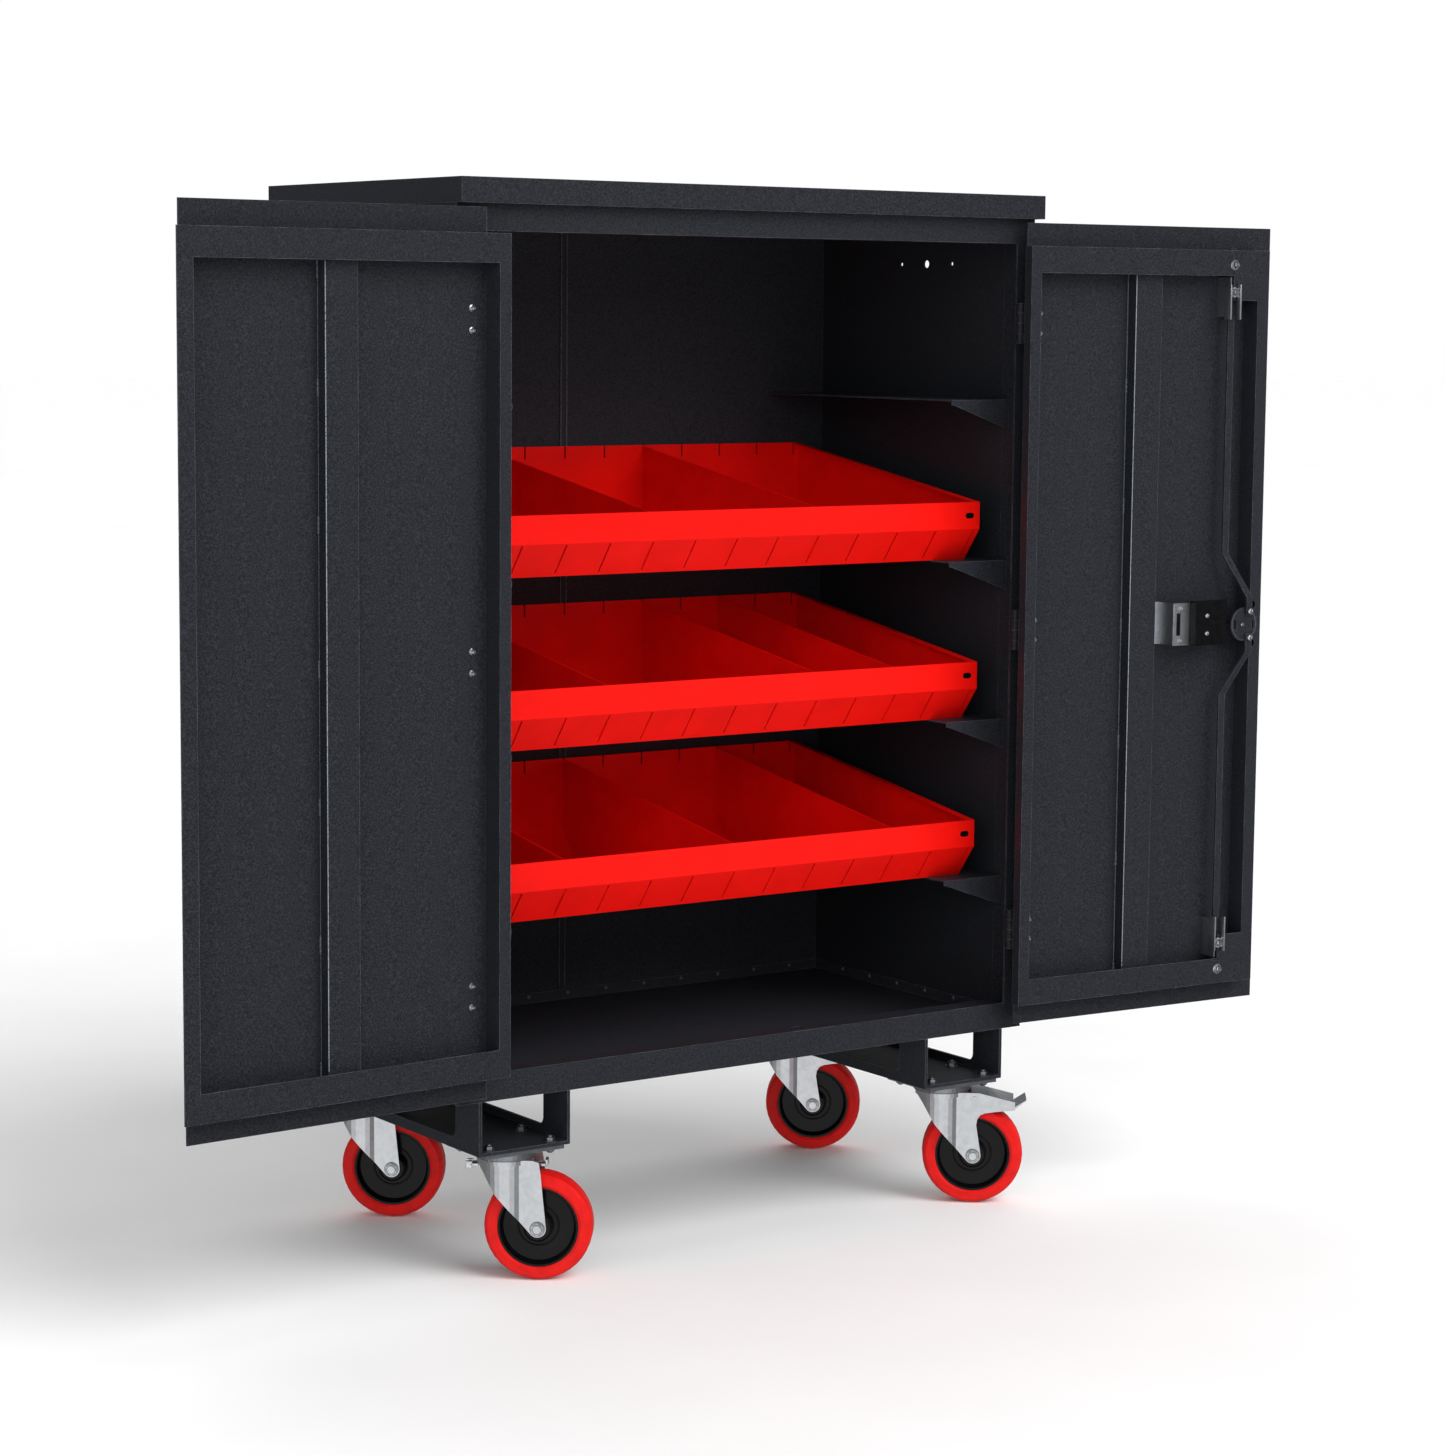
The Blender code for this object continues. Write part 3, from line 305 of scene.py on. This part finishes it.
# small shapes shared by the pieces below
def meshPiece(name, bm, material, body, smoothAngle=35):
    mesh = bpy.data.meshes.new(name)
    bmesh.ops.recalc_face_normals(bm, faces=bm.faces)
    bm.to_mesh(mesh)
    bm.free()
    mesh.materials.append(material)
    mesh.shade_smooth()
    mesh.set_sharp_from_angle(angle=math.radians(smoothAngle))
    piece = bpy.data.objects.new(name, mesh)
    bpy.context.scene.collection.objects.link(piece)
    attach(piece, body)
    return piece


def facing(point, direction, twist=0.0):
    turn = Vector(direction).to_track_quat("Z", "Y").to_matrix().to_4x4()
    return Matrix.Translation(point) @ turn @ Matrix.Rotation(twist, 4, "Z")


def lathe(bm, profile, matrix, segments=24):
    rings = []
    for radius, height in profile:
        turns = [2 * math.pi * i / segments for i in range(segments)]
        rings.append([bm.verts.new(matrix @ Vector((radius * math.cos(t), radius * math.sin(t), height)))
                      for t in turns])
    for low, high in zip(rings, rings[1:]):
        for i in range(segments):
            j = (i + 1) % segments
            bm.faces.new((low[i], low[j], high[j], high[i]))
    bm.faces.new(rings[0][::-1])
    bm.faces.new(rings[-1])


def ring(bm, matrix, major, minor, segments=48, sides=12):
    rows = []
    for i in range(segments):
        a = 2 * math.pi * i / segments
        row = []
        for j in range(sides):
            b = 2 * math.pi * j / sides
            r = major + minor * math.cos(b)
            row.append(bm.verts.new(matrix @ Vector((r * math.cos(a), r * math.sin(a), minor * math.sin(b)))))
        rows.append(row)
    for i in range(segments):
        for j in range(sides):
            k, m = (i + 1) % segments, (j + 1) % sides
            bm.faces.new((rows[i][j], rows[k][j], rows[k][m], rows[i][m]))


def block(bm, matrix, size, edge=0.0004):
    made = bmesh.ops.create_cube(bm, size=1.0, matrix=matrix @ Matrix.Diagonal((*size, 1.0)))
    edges = {e for v in made["verts"] for e in v.link_edges}
    bmesh.ops.bevel(bm, geom=list(edges), offset=edge, segments=2, profile=0.5, affect="EDGES")


# hexagon screw with its thread's end: heights are shares of the head's, radii shares of its corner radius
hexShape = {
    "chamferFrom": 0.82, "chamfer": 0.86, "thread": 0.52, "threadTop": 0.42, "threadShoulder": 1.35,
    "threadEnd": 1.5, "washerThick": 0.0012, "washerRound": 0.0003, "washerTop": 0.96, "washerSink": 0.0002,
}


def hexBolt(bm, point, direction, across, tall, washer=0.0, twist=0.3):
    matrix = facing(point, direction, twist)
    start = 0.0
    if washer:
        thick = hexShape["washerThick"]
        edge = thick - hexShape["washerRound"]
        lathe(bm, [(washer, 0.0), (washer, edge), (washer * hexShape["washerTop"], thick)], matrix, 28)
        start = thick - hexShape["washerSink"]
    r = across / math.sqrt(3)
    thread = r * hexShape["thread"]
    shoulder = start + tall * hexShape["chamferFrom"]
    lathe(bm, [(r, start), (r, shoulder), (r * hexShape["chamfer"], start + tall)], matrix, 6)
    lathe(bm, [(thread, start), (thread, start + tall * hexShape["threadShoulder"]),
               (r * hexShape["threadTop"], start + tall * hexShape["threadEnd"])], matrix, 16)


def domeRivet(bm, point, direction, radius, tall):
    turns = [math.radians(degrees) for degrees in (0, 18, 38, 58, 76, 88)]
    profile = [(radius * math.cos(a), tall * math.sin(a)) for a in turns]
    lathe(bm, [(radius, -0.0003)] + profile, facing(point, direction), 18)


def weldBead(bm, start, end, radius, seed=0):
    # a lumpy run of overlapping drops between two points
    start, end = Vector(start), Vector(end)
    count = max(2, int((end - start).length / (radius * 1.1)))
    for i in range(count + 1):
        size = radius * (0.85 + 0.25 * math.sin(seed * 1.7 + i * 2.3) ** 2)
        bmesh.ops.create_icosphere(bm, subdivisions=2, radius=size,
                                   matrix=Matrix.Translation(start.lerp(end, i / count)))


# doors: on a door, u runs from the skin's hinge edge, t off its inner face, and heights from the floor
doorFit = {
    "hingeX": 0.4895, "hingeY": 0.008, "edgeGap": 0.0013, "inner": -0.012,
    "skin": 0.4874, "skinThick": 0.0025,
    "frameDepth": 0.0358, "frameBottom": 0.3278, "frameTop": 1.5203,
    "boltU": 0.025, "boltSplit": 0.0154, "hinges": (0.443, 0.921, 1.4012),
}
openLimits = {-1: joints["left_door_hinge"]["range_deg"][1], 1: joints["right_door_hinge"]["range_deg"][1]}


def doorMatrix(side):
    turn = math.radians(-side * openLimits[side])
    axis = Matrix.Translation(place(side * doorFit["hingeX"], doorFit["hingeY"], 0))
    return axis @ Matrix.Rotation(turn, 4, "Z")


def onDoor(side, u, t, z):
    local = Vector((side * (doorFit["edgeGap"] + u), doorFit["inner"] - t, z))
    return doorMatrix(side) @ local


def doorWay(side, du, dt, dz=0.0):
    turn = doorMatrix(side).to_3x3()
    return turn @ Vector((side * du, -dt, dz))


def doorBlock(bm, side, us, ts, zs, edge=0.0004):
    size = (us[1] - us[0], ts[1] - ts[0], zs[1] - zs[0])
    local = Vector((side * (doorFit["edgeGap"] + sum(us) / 2), doorFit["inner"] - sum(ts) / 2, sum(zs) / 2))
    block(bm, doorMatrix(side) @ Matrix.Translation(local), size, edge)


doorDetails = {
    "boltEnd": [(0.0052, 0), (0.0052, 0.0006), (0.0030, 0.0010), (0.0030, 0.0058), (0.0022, 0.0066)],
    "leafScrew": [(0.0050, 0), (0.0047, 0.0010), (0.0034, 0.0020), (0.0016, 0.0024)], "leafThick": 0.0025,
    "weldLength": 0.022, "weldRadius": 0.0019, "footBead": (0.0012, 0.0006, 0.0016), "footEnd": 0.004,
    "foldDepth": 0.020, "foldWide": 0.0013, "foldThick": 0.0011, "foldProud": 0.0001, "foldEnd": 0.042,
    "cornerEnd": 0.041, "cornerStart": 0.012, "cornerInset": (0.0014, 0.0016), "cornerRadius": 0.0013,
}
doorSides = {
    "left": {"side": -1, "weldU": 0.2758, "foldU": 0.2754, "cornerU": doorFit["skin"] - 0.0005,
             "welds": (1.467, 1.308, 1.1225, 0.926, 0.736, 0.5445, 0.368)},
    "right": {"side": 1, "weldU": 0.1985, "foldU": 0.2006, "cornerU": 0.4349,
              "welds": (1.490, 1.305, 1.113, 0.922, 0.733, 0.544, 0.360)},
}


def makeDoorDetails(word, fit):
    side = fit["side"]
    body = word + "_door"
    bottom, top, depth = doorFit["frameBottom"], doorFit["frameTop"], doorFit["frameDepth"]
    boltHeights = [height + shift * doorFit["boltSplit"] for height in doorFit["hinges"] for shift in (-1, 1)]

    bm = bmesh.new()
    for height in boltHeights:
        lathe(bm, doorDetails["boltEnd"],
              facing(onDoor(side, doorFit["boltU"], 0.0002, height), doorWay(side, 0, 1)), 18)
    meshPiece("hinge_bolt_ends_" + word, bm, boltSteel, body)

    # stitch welds at the stiffener's foot, in the paler weld coat: painted highlight on the beads
    bm = bmesh.new()
    half = doorDetails["weldLength"] / 2
    for number, height in enumerate(fit["welds"]):
        weldBead(bm, onDoor(side, fit["weldU"], 0.0006, height - half),
                 onDoor(side, fit["weldU"], 0.0006, height + half), doorDetails["weldRadius"], number)
    meshPiece("stiffener_welds_" + word, bm, weldHighlightCoat, body, 60)

    # a thin bead closes the foot against the skin between the welds, paler as a painted highlight
    bm = bmesh.new()
    before, after, proud = doorDetails["footBead"]
    doorBlock(bm, side, (fit["weldU"] - before, fit["weldU"] + after), (0.0001, proud),
              (bottom + doorDetails["footEnd"], top - doorDetails["footEnd"]), 0.0005)
    meshPiece("stiffener_foot_" + word, bm, weldHighlightCoat, body)

    # rubbed corner of the stiffener, pale: partly worn coat, partly a painted highlight
    bm = bmesh.new()
    wide = doorDetails["foldWide"] / 2
    face = doorDetails["foldDepth"] + doorDetails["foldProud"]
    doorBlock(bm, side, (fit["foldU"] - wide, fit["foldU"] + wide), (face - doorDetails["foldThick"], face),
              (bottom + doorDetails["foldEnd"], top - doorDetails["foldEnd"]), 0.0003)
    meshPiece("stiffener_fold_highlight_" + word, bm, rubbedFoldHighlightCoat, body)

    # welded corners of the door frame
    bm = bmesh.new()
    across, back = doorDetails["cornerInset"]
    for height in (bottom + doorDetails["cornerEnd"], top - doorDetails["cornerEnd"]):
        weldBead(bm, onDoor(side, fit["cornerU"] - across, depth - back, height),
                 onDoor(side, fit["cornerU"] - across, doorDetails["cornerStart"], height),
                 doorDetails["cornerRadius"], height)
    meshPiece("corner_welds_" + word, bm, darkCoat, body, 60)

    # leaf screws on the outside face
    bm = bmesh.new()
    outside = -doorFit["skinThick"] - doorDetails["leafThick"]
    for height in boltHeights:
        lathe(bm, doorDetails["leafScrew"],
              facing(onDoor(side, doorFit["boltU"], outside, height), doorWay(side, 0, -1)), 20)
    meshPiece("hinge_leaf_screws_" + word, bm, boltSteel, body)


for word, fit in doorSides.items():
    makeDoorDetails(word, fit)
print("door details made")

# rod lock: case, latch bracket, cam and rod guides on the right door
lock = {
    "spindleU": 0.4197, "height": 0.918, "camFace": 0.0405, "camRing": (0.0247, 0.00035),
    "screwShift": 0.0042, "screwHead": [(0.0034, -0.0005), (0.0034, 0.0016), (0.0027, 0.0024)],
    "screwTip": [(0.0019, 0.0), (0.0019, 0.0030)],
    "pinU": 0.4267, "pinHeight": 0.0215, "pinFace": 0.0483, "pinHead": (0.0054, 0.0022),
    "caseU": 0.3295, "caseFace": 0.057, "caseRivets": (0.9366, 0.9080), "caseRivet": (0.0042, 0.0022),
    "bracketU": 0.2875, "bracketFace": 0.0425, "bracketBolts": (0.949, 0.897),
    "foldU": (0.2717, 0.2734), "foldProud": (-0.001, 0.0008), "foldHeights": (0.890, 0.956),
    "rodU": 0.3892, "guideBoltShift": -0.004, "guides": {"upper": (1.4967, 1.4534), "lower": (0.395, 0.3516)},
    "cheekOut": (-0.0135, -0.0110), "cheekIn": (0.0012, 0.0037), "cheekOutDepth": (-0.012, 0.004),
    "cheekInDepth": (0.0002, 0.010), "cheekHeights": (0.009, 0.06525),
}


def makeLockDetails():
    way = doorWay(1, 0, 1)
    u, z, face = lock["spindleU"], lock["height"], lock["camFace"]
    bm = bmesh.new()
    ring(bm, facing(onDoor(1, u, face, z), way), *lock["camRing"])
    meshPiece("cam_pressed_ring", bm, darkerZinc, "lock_handle")

    bm = bmesh.new()
    screw = facing(onDoor(1, u - lock["screwShift"], face, z), way)
    lathe(bm, lock["screwHead"], screw, 20)
    lathe(bm, lock["screwTip"], screw, 6)
    meshPiece("cam_screw", bm, boltSteel, "lock_handle")

    for word, up in (("upper", 1), ("lower", -1)):
        bm = bmesh.new()
        head = onDoor(1, lock["pinU"], lock["pinFace"], z + up * lock["pinHeight"])
        domeRivet(bm, head, way, *lock["pinHead"])
        meshPiece("rod_pin_head_" + word, bm, boltSteel, word + "_rod_body")

    bm = bmesh.new()
    for height in lock["caseRivets"]:
        domeRivet(bm, onDoor(1, lock["caseU"], lock["caseFace"], height), way, *lock["caseRivet"])
    meshPiece("lock_case_rivets", bm, boltSteel, "right_door")

    bm = bmesh.new()
    for height in lock["bracketBolts"]:
        hexBolt(bm, onDoor(1, lock["bracketU"], lock["bracketFace"], height), way, 0.008, 0.0030, 0.0060)
    meshPiece("lock_bracket_bolts", bm, boltSteel, "right_door")

    bm = bmesh.new()
    doorBlock(bm, 1, lock["foldU"], [lock["bracketFace"] + proud for proud in lock["foldProud"]],
              lock["foldHeights"], 0.0003)
    meshPiece("lock_bracket_fold", bm, boltSteel, "right_door")

    depth = doorFit["frameDepth"]
    cheeks = ((lock["cheekOut"], lock["cheekOutDepth"]), (lock["cheekIn"], lock["cheekInDepth"]))
    for word, heights in lock["guides"].items():
        bm = bmesh.new()
        for height in heights:
            hexBolt(bm, onDoor(1, lock["rodU"] + lock["guideBoltShift"], depth + 0.0001, height), way,
                    0.010, 0.0060, 0.0085)
        meshPiece("guide_bolts_" + word, bm, boltSteel, "right_door")

        bm = bmesh.new()
        towardLock = -1 if word == "upper" else 1
        reach = sorted(sum(heights) / 2 + towardLock * part for part in lock["cheekHeights"])
        for across, deep in cheeks:
            doorBlock(bm, 1, [lock["rodU"] + part for part in across], [depth + part for part in deep], reach)
        meshPiece("guide_cheeks_" + word, bm, zinc, "right_door")


makeLockDetails()
print("lock details made")

# cabinet: tacks along the floor's upturned edge and seam lips on the back, paler as painted highlights
shell = {
    "wall": 0.5225, "back": 0.568, "sheet": 0.0024, "tackHeight": 0.2985, "tack": (0.0034, 0.0016),
    "pitch": 0.0755, "firstTack": 0.110, "sideTacks": 6, "backShift": 0.012,
    "seamHalf": 0.0055, "seamLip": 0.0016, "seamTop": 1.5595, "seamLow": 0.3105, "seamInset": 0.0026,
}


def makeShellDetails():
    bm = bmesh.new()
    inner = shell["wall"] - shell["sheet"]
    for side in (-1, 1):
        for number in range(shell["sideTacks"]):
            y = shell["firstTack"] + number * shell["pitch"]
            domeRivet(bm, place(side * inner, y, shell["tackHeight"]), (-side, 0, 0), *shell["tack"])
    backY = shell["back"] - shell["sheet"] + 0.0003
    for number in range(-shell["sideTacks"], shell["sideTacks"] + 1):
        x = number * shell["pitch"] + shell["backShift"]
        domeRivet(bm, place(x, backY, shell["tackHeight"]), (0, -1, 0), *shell["tack"])
    meshPiece("floor_tacks", bm, weldHighlightCoat, "cabinet", 50)

    bm = bmesh.new()
    top, low, lip = shell["seamTop"], shell["seamLow"], shell["seamLip"]
    for side in (-1, 1):
        at = place(side * shell["seamHalf"], shell["back"] - shell["seamInset"], (top + low) / 2)
        block(bm, Matrix.Translation(at), (lip, lip, top - low), 0.0005)
    meshPiece("back_seam_lips", bm, weldHighlightCoat, "cabinet")


makeShellDetails()
print("shell details made")

# trays: folded rim on the end walls and a plain finger slot at the right of the front band, drawn as a thin
# black sheet: painted shade for the hole
trayFit = {
    "half": 0.468, "front": 0.0752, "depth": 0.4873, "frontHeight": 0.093, "backHeight": 0.170,
    "rim": 0.012, "rimThick": 0.0016, "rimDrop": 0.0009, "rimEnd": 0.002,
    "slotFromEnd": 0.020, "slotWide": 0.017, "slotTall": 0.009, "slotThick": 0.0004, "bandHeight": 0.0427,
}


def slotOutline(wide, tall, steps=8):
    r = tall / 2
    points = []
    for sideways in (1, -1):
        for i in range(steps + 1):
            a = math.radians(-90 * sideways + 180 * i / steps)
            points.append(Vector((sideways * (wide / 2 - r) + r * math.cos(a), 0, r * math.sin(a))))
    return points


def makeTrayDetails(word):
    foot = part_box("tray_" + word)[0].z
    body = "tray_%s_body" % word
    bm = bmesh.new()
    inset = trayFit["rimEnd"]
    start = place(0, trayFit["front"] + inset, foot + trayFit["frontHeight"])
    end = place(0, trayFit["front"] + trayFit["depth"] - inset, foot + trayFit["backHeight"])
    run = end - start
    lean = Matrix.Rotation(math.atan2(run.z, run.y), 4, "X") @ Matrix.Translation((0, 0, -trayFit["rimDrop"]))
    for side in (-1, 1):
        mid = (start + end) / 2 + Vector((side * (trayFit["half"] - trayFit["rim"] / 2), 0, 0))
        block(bm, Matrix.Translation(mid) @ lean, (trayFit["rim"], run.length, trayFit["rimThick"]), 0.0005)
    meshPiece("tray_rims_" + word, bm, redPaint, body)

    # the slot is a thin black sheet on the band: painted shade where a hole would be
    bm = bmesh.new()
    centre = place(trayFit["half"] - trayFit["slotFromEnd"], trayFit["front"] - 0.00005,
                   foot + trayFit["frontHeight"] - trayFit["bandHeight"] / 2)
    outline = slotOutline(trayFit["slotWide"], trayFit["slotTall"])
    front, back = [[bm.verts.new(centre + point + Vector((0, deep, 0))) for point in outline]
                   for deep in (0, trayFit["slotThick"])]
    for i in range(len(outline)):
        j = (i + 1) % len(outline)
        bm.faces.new((front[i], front[j], back[j], back[i]))
    bm.faces.new(front[::-1])
    bm.faces.new(back)
    meshPiece("tray_finger_slot_shade_" + word, bm, nylon, body)


for word in ("upper", "middle", "lower"):
    makeTrayDetails(word)
print("tray details made")

# castors: plate bolts, ball race, axle washers, hub rings and the left pair's direction tabs
castor = {
    "x": 0.4097, "rows": {"front": 0.075, "back": 0.5036}, "angle": -37.5, "trail": 0.0503, "wheel": 0.080,
    "plateTop": 0.1993, "plateThick": 0.005, "skidTop": 0.2046, "boltX": 0.0525, "boltY": 0.040,
    "boltAcross": 0.013, "boltTall": 0.0055, "nutTall": 0.0050, "boltWasher": 0.0105,
    "race": (0.0425, 0.0024), "raceHeight": 0.1836,
    "axleOut": 0.0331, "washer": [(0.0112, -0.0003), (0.0112, 0.0010), (0.0107, 0.0014)],
    "nutRing": (0.0071, 0.0006), "nutOut": 0.0374, "hubFace": 0.0105, "hubRing": (0.0300, 0.0012),
    # blocks of the tabs: x, y, z from the swivel's axis at the floor, then their sizes
    "tabs": (
        (-0.0445, 0.0, 0.1690, (0.012, 0.020, 0.004)), (-0.0530, 0.0075, 0.1690, (0.010, 0.005, 0.010)),
        (-0.0530, -0.0075, 0.1690, (0.010, 0.005, 0.010)), (0.0520, 0.0, 0.1705, (0.022, 0.020, 0.004)),
        (0.0615, 0.0, 0.1735, (0.004, 0.020, 0.010)),
    ),
}
castorPlaces = {
    "front_left": (-1, "front"), "back_left": (-1, "back"),
    "front_right": (1, "front"), "back_right": (1, "back"),
}


def makeCastorDetails(word, side, row):
    turn = math.radians(castor["angle"])
    trailing = Vector((math.cos(turn), math.sin(turn), 0))
    axle = Vector((-math.sin(turn), math.cos(turn), 0))
    centre = place(side * castor["x"], castor["rows"][row], 0)
    under = castor["plateTop"] - castor["plateThick"]
    across = castor["boltAcross"]
    bm = bmesh.new()
    for sx in (-1, 1):
        for sy in (-1, 1):
            at = centre + Vector((sx * castor["boltX"], sy * castor["boltY"], 0))
            hexBolt(bm, at + Vector((0, 0, castor["skidTop"])), (0, 0, 1), across, castor["boltTall"],
                    castor["boltWasher"], 0.4 * sx)
            hexBolt(bm, at + Vector((0, 0, under)), (0, 0, -1), across, castor["nutTall"], 0.0, 0.2)
    meshPiece("plate_bolts_" + word, bm, darkerZinc, "cabinet")

    # the ball race in the darker zinc: painted shade under the plate
    bm = bmesh.new()
    ring(bm, Matrix.Translation(centre + Vector((0, 0, castor["raceHeight"]))), *castor["race"])
    meshPiece("ball_race_" + word, bm, darkerZinc, "cabinet", 60)

    hub = centre + trailing * castor["trail"] + Vector((0, 0, castor["wheel"]))
    bm = bmesh.new()
    for way in (-1, 1):
        lathe(bm, castor["washer"], facing(hub + axle * way * castor["axleOut"], axle * way), 28)
        ring(bm, facing(hub + axle * way * castor["nutOut"], axle * way), *castor["nutRing"])
    meshPiece("axle_washers_" + word, bm, darkerZinc, "swivel_" + word)

    bm = bmesh.new()
    for way in (-1, 1):
        ring(bm, facing(hub + axle * way * castor["hubFace"], axle * way), *castor["hubRing"])
    meshPiece("hub_rings_" + word, bm, nylon, "wheel_" + word, 60)

    if side < 0:
        bm = bmesh.new()
        swivel = Matrix.Translation(centre) @ Matrix.Rotation(turn, 4, "Z")
        for x, y, z, size in castor["tabs"]:
            block(bm, swivel @ Matrix.Translation((x, y, z)), size, 0.0006)
        meshPiece("direction_tabs_" + word, bm, boltSteel, "swivel_" + word)


for word, (side, row) in castorPlaces.items():
    makeCastorDetails(word, side, row)
print("castor details made")

# studio: pale floor, white surround, soft light from the front and above
studio = {
    "floorHalf": 60.0, "floorDrop": 0.0005, "aim": (0, 0.1, 0.9),
    "world": 0.21, "mirrored": 0.20,
    "card": (-0.54, -0.80, -0.26), "cardGlow": 1.05, "cardEdge": (0.62, 0.95),
    # where each sun stands, its power and its spread in degrees
    "suns": {"key": ((0.30, -1.0, 0.95), 2.3, 46), "fill": ((-0.75, -1.0, 0.45), 0.85, 40),
             "back": ((0.45, 0.6, 1.3), 1.15, 70)},
    # where each softbox stands, its size and its power
    "softboxes": {"left": ((-4.6, -1.2, 1.6), 2.0, 24), "front": ((1.6, -5.2, 3.2), 2.0, 34),
                  "right": ((4.6, -2.6, 1.2), 1.6, 6)},
}
bm = bmesh.new()
bmesh.ops.create_grid(bm, x_segments=2, y_segments=2, size=studio["floorHalf"])
floorMesh = bpy.data.meshes.new("studio_floor")
bm.to_mesh(floorMesh)
bm.free()
floorMesh.materials.append(makePaper())
studioFloor = bpy.data.objects.new("studio_floor", floorMesh)
studioFloor.location.z = -studio["floorDrop"]
bpy.context.scene.collection.objects.link(studioFloor)
studioFloor.visible_glossy = False      # metal and gloss mirror the surround, not the floor

# the surround is plain white to look at, dimmer as a light, and mirrored with one bright card in front
world = bpy.data.worlds.new("studio_surround")
world.use_nodes = True
tree = world.node_tree
path = addNode(tree, "ShaderNodeLightPath")
way = addNode(tree, "ShaderNodeTexCoord").outputs["Generated"]
facingCard = addNode(tree, "ShaderNodeVectorMath", {"operation": "DOT_PRODUCT", 1: studio["card"]},
                     {0: way}).outputs["Value"]
cardStart, cardFull = studio["cardEdge"]
mirrored = addNode(tree, "ShaderNodeMapRange",
                   {"From Min": cardStart, "From Max": cardFull, "To Min": studio["mirrored"],
                    "To Max": studio["cardGlow"]}, {"Value": facingCard}).outputs["Result"]
dimmed = addNode(tree, "ShaderNodeMix", {"data_type": "FLOAT", 2: studio["world"]},
                 {0: path.outputs["Is Glossy Ray"], 3: mirrored}).outputs[0]
strength = addNode(tree, "ShaderNodeMath", {"operation": "MAXIMUM"},
                   {0: path.outputs["Is Camera Ray"], 1: dimmed}).outputs[0]
background = tree.nodes["Background"]
background.inputs["Color"].default_value = (1.0, 1.0, 1.0, 1.0)
tree.links.new(strength, background.inputs["Strength"])
bpy.context.scene.world = world


def addLight(name, kind, position, power, aim):
    light = bpy.data.lights.new(name, kind)
    light.energy = power
    holder = bpy.data.objects.new(name, light)
    holder.location = position
    holder.rotation_euler = (Vector(aim) - Vector(position)).to_track_quat("-Z", "Y").to_euler()
    bpy.context.scene.collection.objects.link(holder)
    return holder


for name, (way, power, spread) in studio["suns"].items():
    sun = addLight("sun_" + name, "SUN", way, power, (0, 0, 0))
    sun.data.angle = math.radians(spread)
    sun.visible_glossy = False      # shine comes from the softboxes
for name, (position, size, power) in studio["softboxes"].items():
    addLight("softbox_" + name, "AREA", position, power, studio["aim"]).data.size = size

view = {
    "x": -3.0268, "y": -4.1883, "z": 1.4107, "yaw": 35.1395, "pitch": 6.7873, "roll": 0.4993,
    "lens": 85.871, "sensor": 36.0,
}
yaw, pitch, roll = (math.radians(view[key]) for key in ("yaw", "pitch", "roll"))
forward = Vector((math.sin(yaw) * math.cos(pitch), math.cos(yaw) * math.cos(pitch), -math.sin(pitch)))
level = Vector((math.cos(yaw), -math.sin(yaw), 0))
upward = level.cross(forward)
right = level * math.cos(roll) + upward * math.sin(roll)
upward = upward * math.cos(roll) - level * math.sin(roll)
camera = bpy.data.cameras.new("studio_camera")
camera.lens = view["lens"]
camera.sensor_width = view["sensor"]
camera.clip_end = 200
cameraHolder = bpy.data.objects.new("studio_camera", camera)
cameraHolder.matrix_world = Matrix.Translation(place(view["x"], view["y"], view["z"])) @ Matrix(
    (right, upward, -forward)).transposed().to_4x4()
bpy.context.scene.collection.objects.link(cameraHolder)
bpy.context.scene.camera = cameraHolder
bpy.context.scene.view_settings.view_transform = "Standard"
print("studio made")
